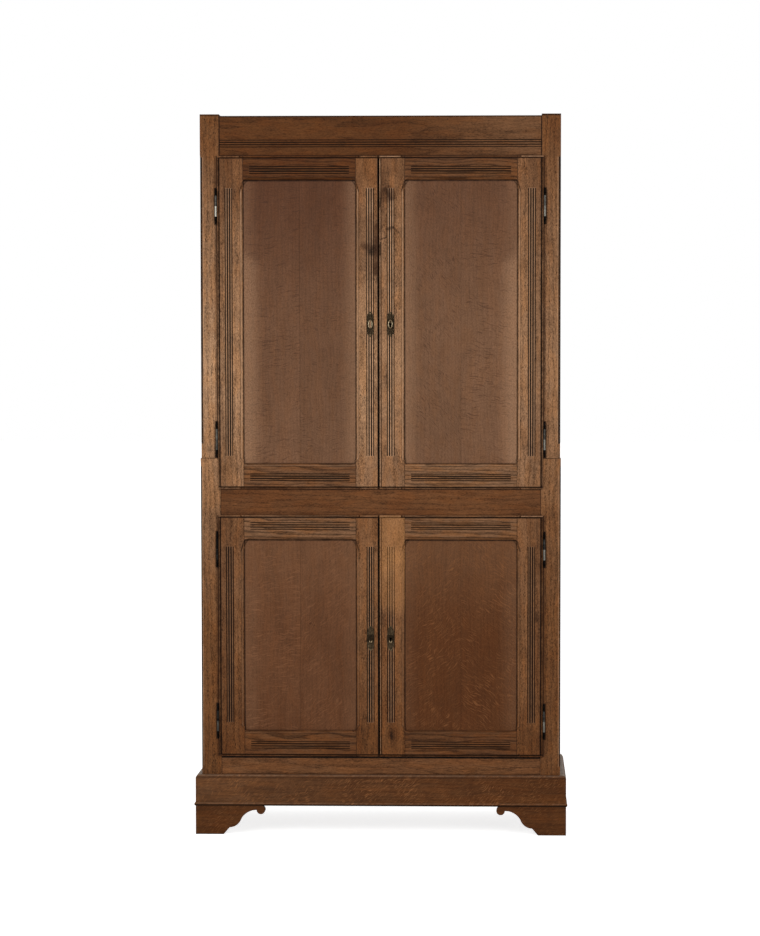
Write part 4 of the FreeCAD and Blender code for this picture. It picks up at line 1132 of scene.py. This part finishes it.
def plateScrews(case, plate):
    # on the back of a plate, in rows to both sides of its middle
    node = case + "_" + plate
    radius, places = screws[plate]
    return [screwHead(span(node, "x")[0] + dx, span(node, "y")[1], middle(node, "z") + dz, radius, turn)
            for dx, dz, turn in places]


def slideScrews(node):
    # in the sunk front of a slide bolt's plate, at both sides of its bar
    foot, top = span(node, "z")
    x, y = middle(node, "x"), span(node, "y")[0] + screws["slideSunk"]
    return [screwHead(x + way * screws["slideOffset"], y, foot + share * (top - foot), screws["slideHead"],
                      way * screws["slideTurn"])
            for way in (-1, 1) for share in screws["slideShares"]]


for case in cases:
    for part in ("lock_case", "lock_bolt", "lock_keeper", "slide_bolt_plate", "slide_bolt_bar"):
        dress(case + "_" + part, iron, 0.0004)
    leftScrews = plateScrews(case, "lock_keeper") + slideScrews(case + "_slide_bolt_plate")
    for name, heads, side in (("LockScrews", plateScrews(case, "lock_case"), "right"),
                              ("SlideScrews", leftScrews, "left")):
        makePiece(case + name, heads, iron, doors[case, side], bevel=0)
print("metal dressed")


# Studio: floor, soft lamps, camera

studio = {
    "world": 0.5,
    "lamps": [   # place, aim, size, power
        ((-1.9, -3.9, 2.9), (-0.1, -0.2, 1.2), 2.2, 62.0),
        ((2.4, -3.9, 2.2), (0.1, -0.2, 1.2), 2.2, 44.0),
    ],
    "cameraPlace": (0.38696, -8.17682, 1.4426), "cameraTurn": (math.pi / 2 - 0.05303, 0.0, 0.02558),
    "lens": 100.54, "shift": (-0.06454, 0.03723), "farthest": 100.0,
    "floorReach": 40.0, "floorGrey": (0.8, 0.8, 0.8, 1.0), "floorGlow": 0.78, "white": (1.0, 1.0, 1.0, 1.0),
}

world = bpy.data.worlds.new("studio")
scene.world = world
world.use_nodes = True
tree = world.node_tree
tree.nodes.clear()
path = tree.nodes.new("ShaderNodeLightPath").outputs
seen = calc("MAXIMUM", path["Is Camera Ray"], path["Is Transmission Ray"])
seen = calc("MAXIMUM", seen, path["Is Glossy Ray"])
strength = ramp(seen, 0.0, 1.0, studio["world"], 1.0)
sky = put("Background", {"Color": studio["white"], "Strength": strength})
put("OutputWorld", {"Surface": sky.outputs[0]})

for index, (place, aim, size, power) in enumerate(studio["lamps"]):
    lamp = bpy.data.lights.new("softbox" + str(index), "AREA")
    lamp.size = size
    lamp.energy = power
    holder = addObject("softbox" + str(index), lamp)
    holder.location = place
    holder.rotation_euler = (Vector(aim) - Vector(place)).to_track_quat("-Z", "Y").to_euler()

reach = studio["floorReach"]
floorMesh = bpy.data.meshes.new("floor")
floorMesh.from_pydata([(-reach, -reach, 0), (reach, -reach, 0), (reach, reach, 0), (-reach, reach, 0)], [],
                      [(0, 1, 2, 3)])
floor = addObject("floor", floorMesh)
floorPaint, tree = newMaterial("floorPaint")
path = tree.nodes.new("ShaderNodeLightPath").outputs
fill(tree.nodes["Principled BSDF"], {
    "Base Color": studio["floorGrey"], "Roughness": 0.9, "Emission Color": studio["white"],
    "Emission Strength": times(path["Is Camera Ray"], studio["floorGlow"])})
floorMesh.materials.append(floorPaint)
floor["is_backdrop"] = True

lens = bpy.data.cameras.new("camera")
lens.lens = studio["lens"]
lens.shift_x, lens.shift_y = studio["shift"]
lens.clip_end = studio["farthest"]
camera = addObject("camera", lens)
camera.location = studio["cameraPlace"]
camera.rotation_euler = studio["cameraTurn"]
scene.camera = camera
scene.view_settings.view_transform = "Standard"
print("studio set")

low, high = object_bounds()
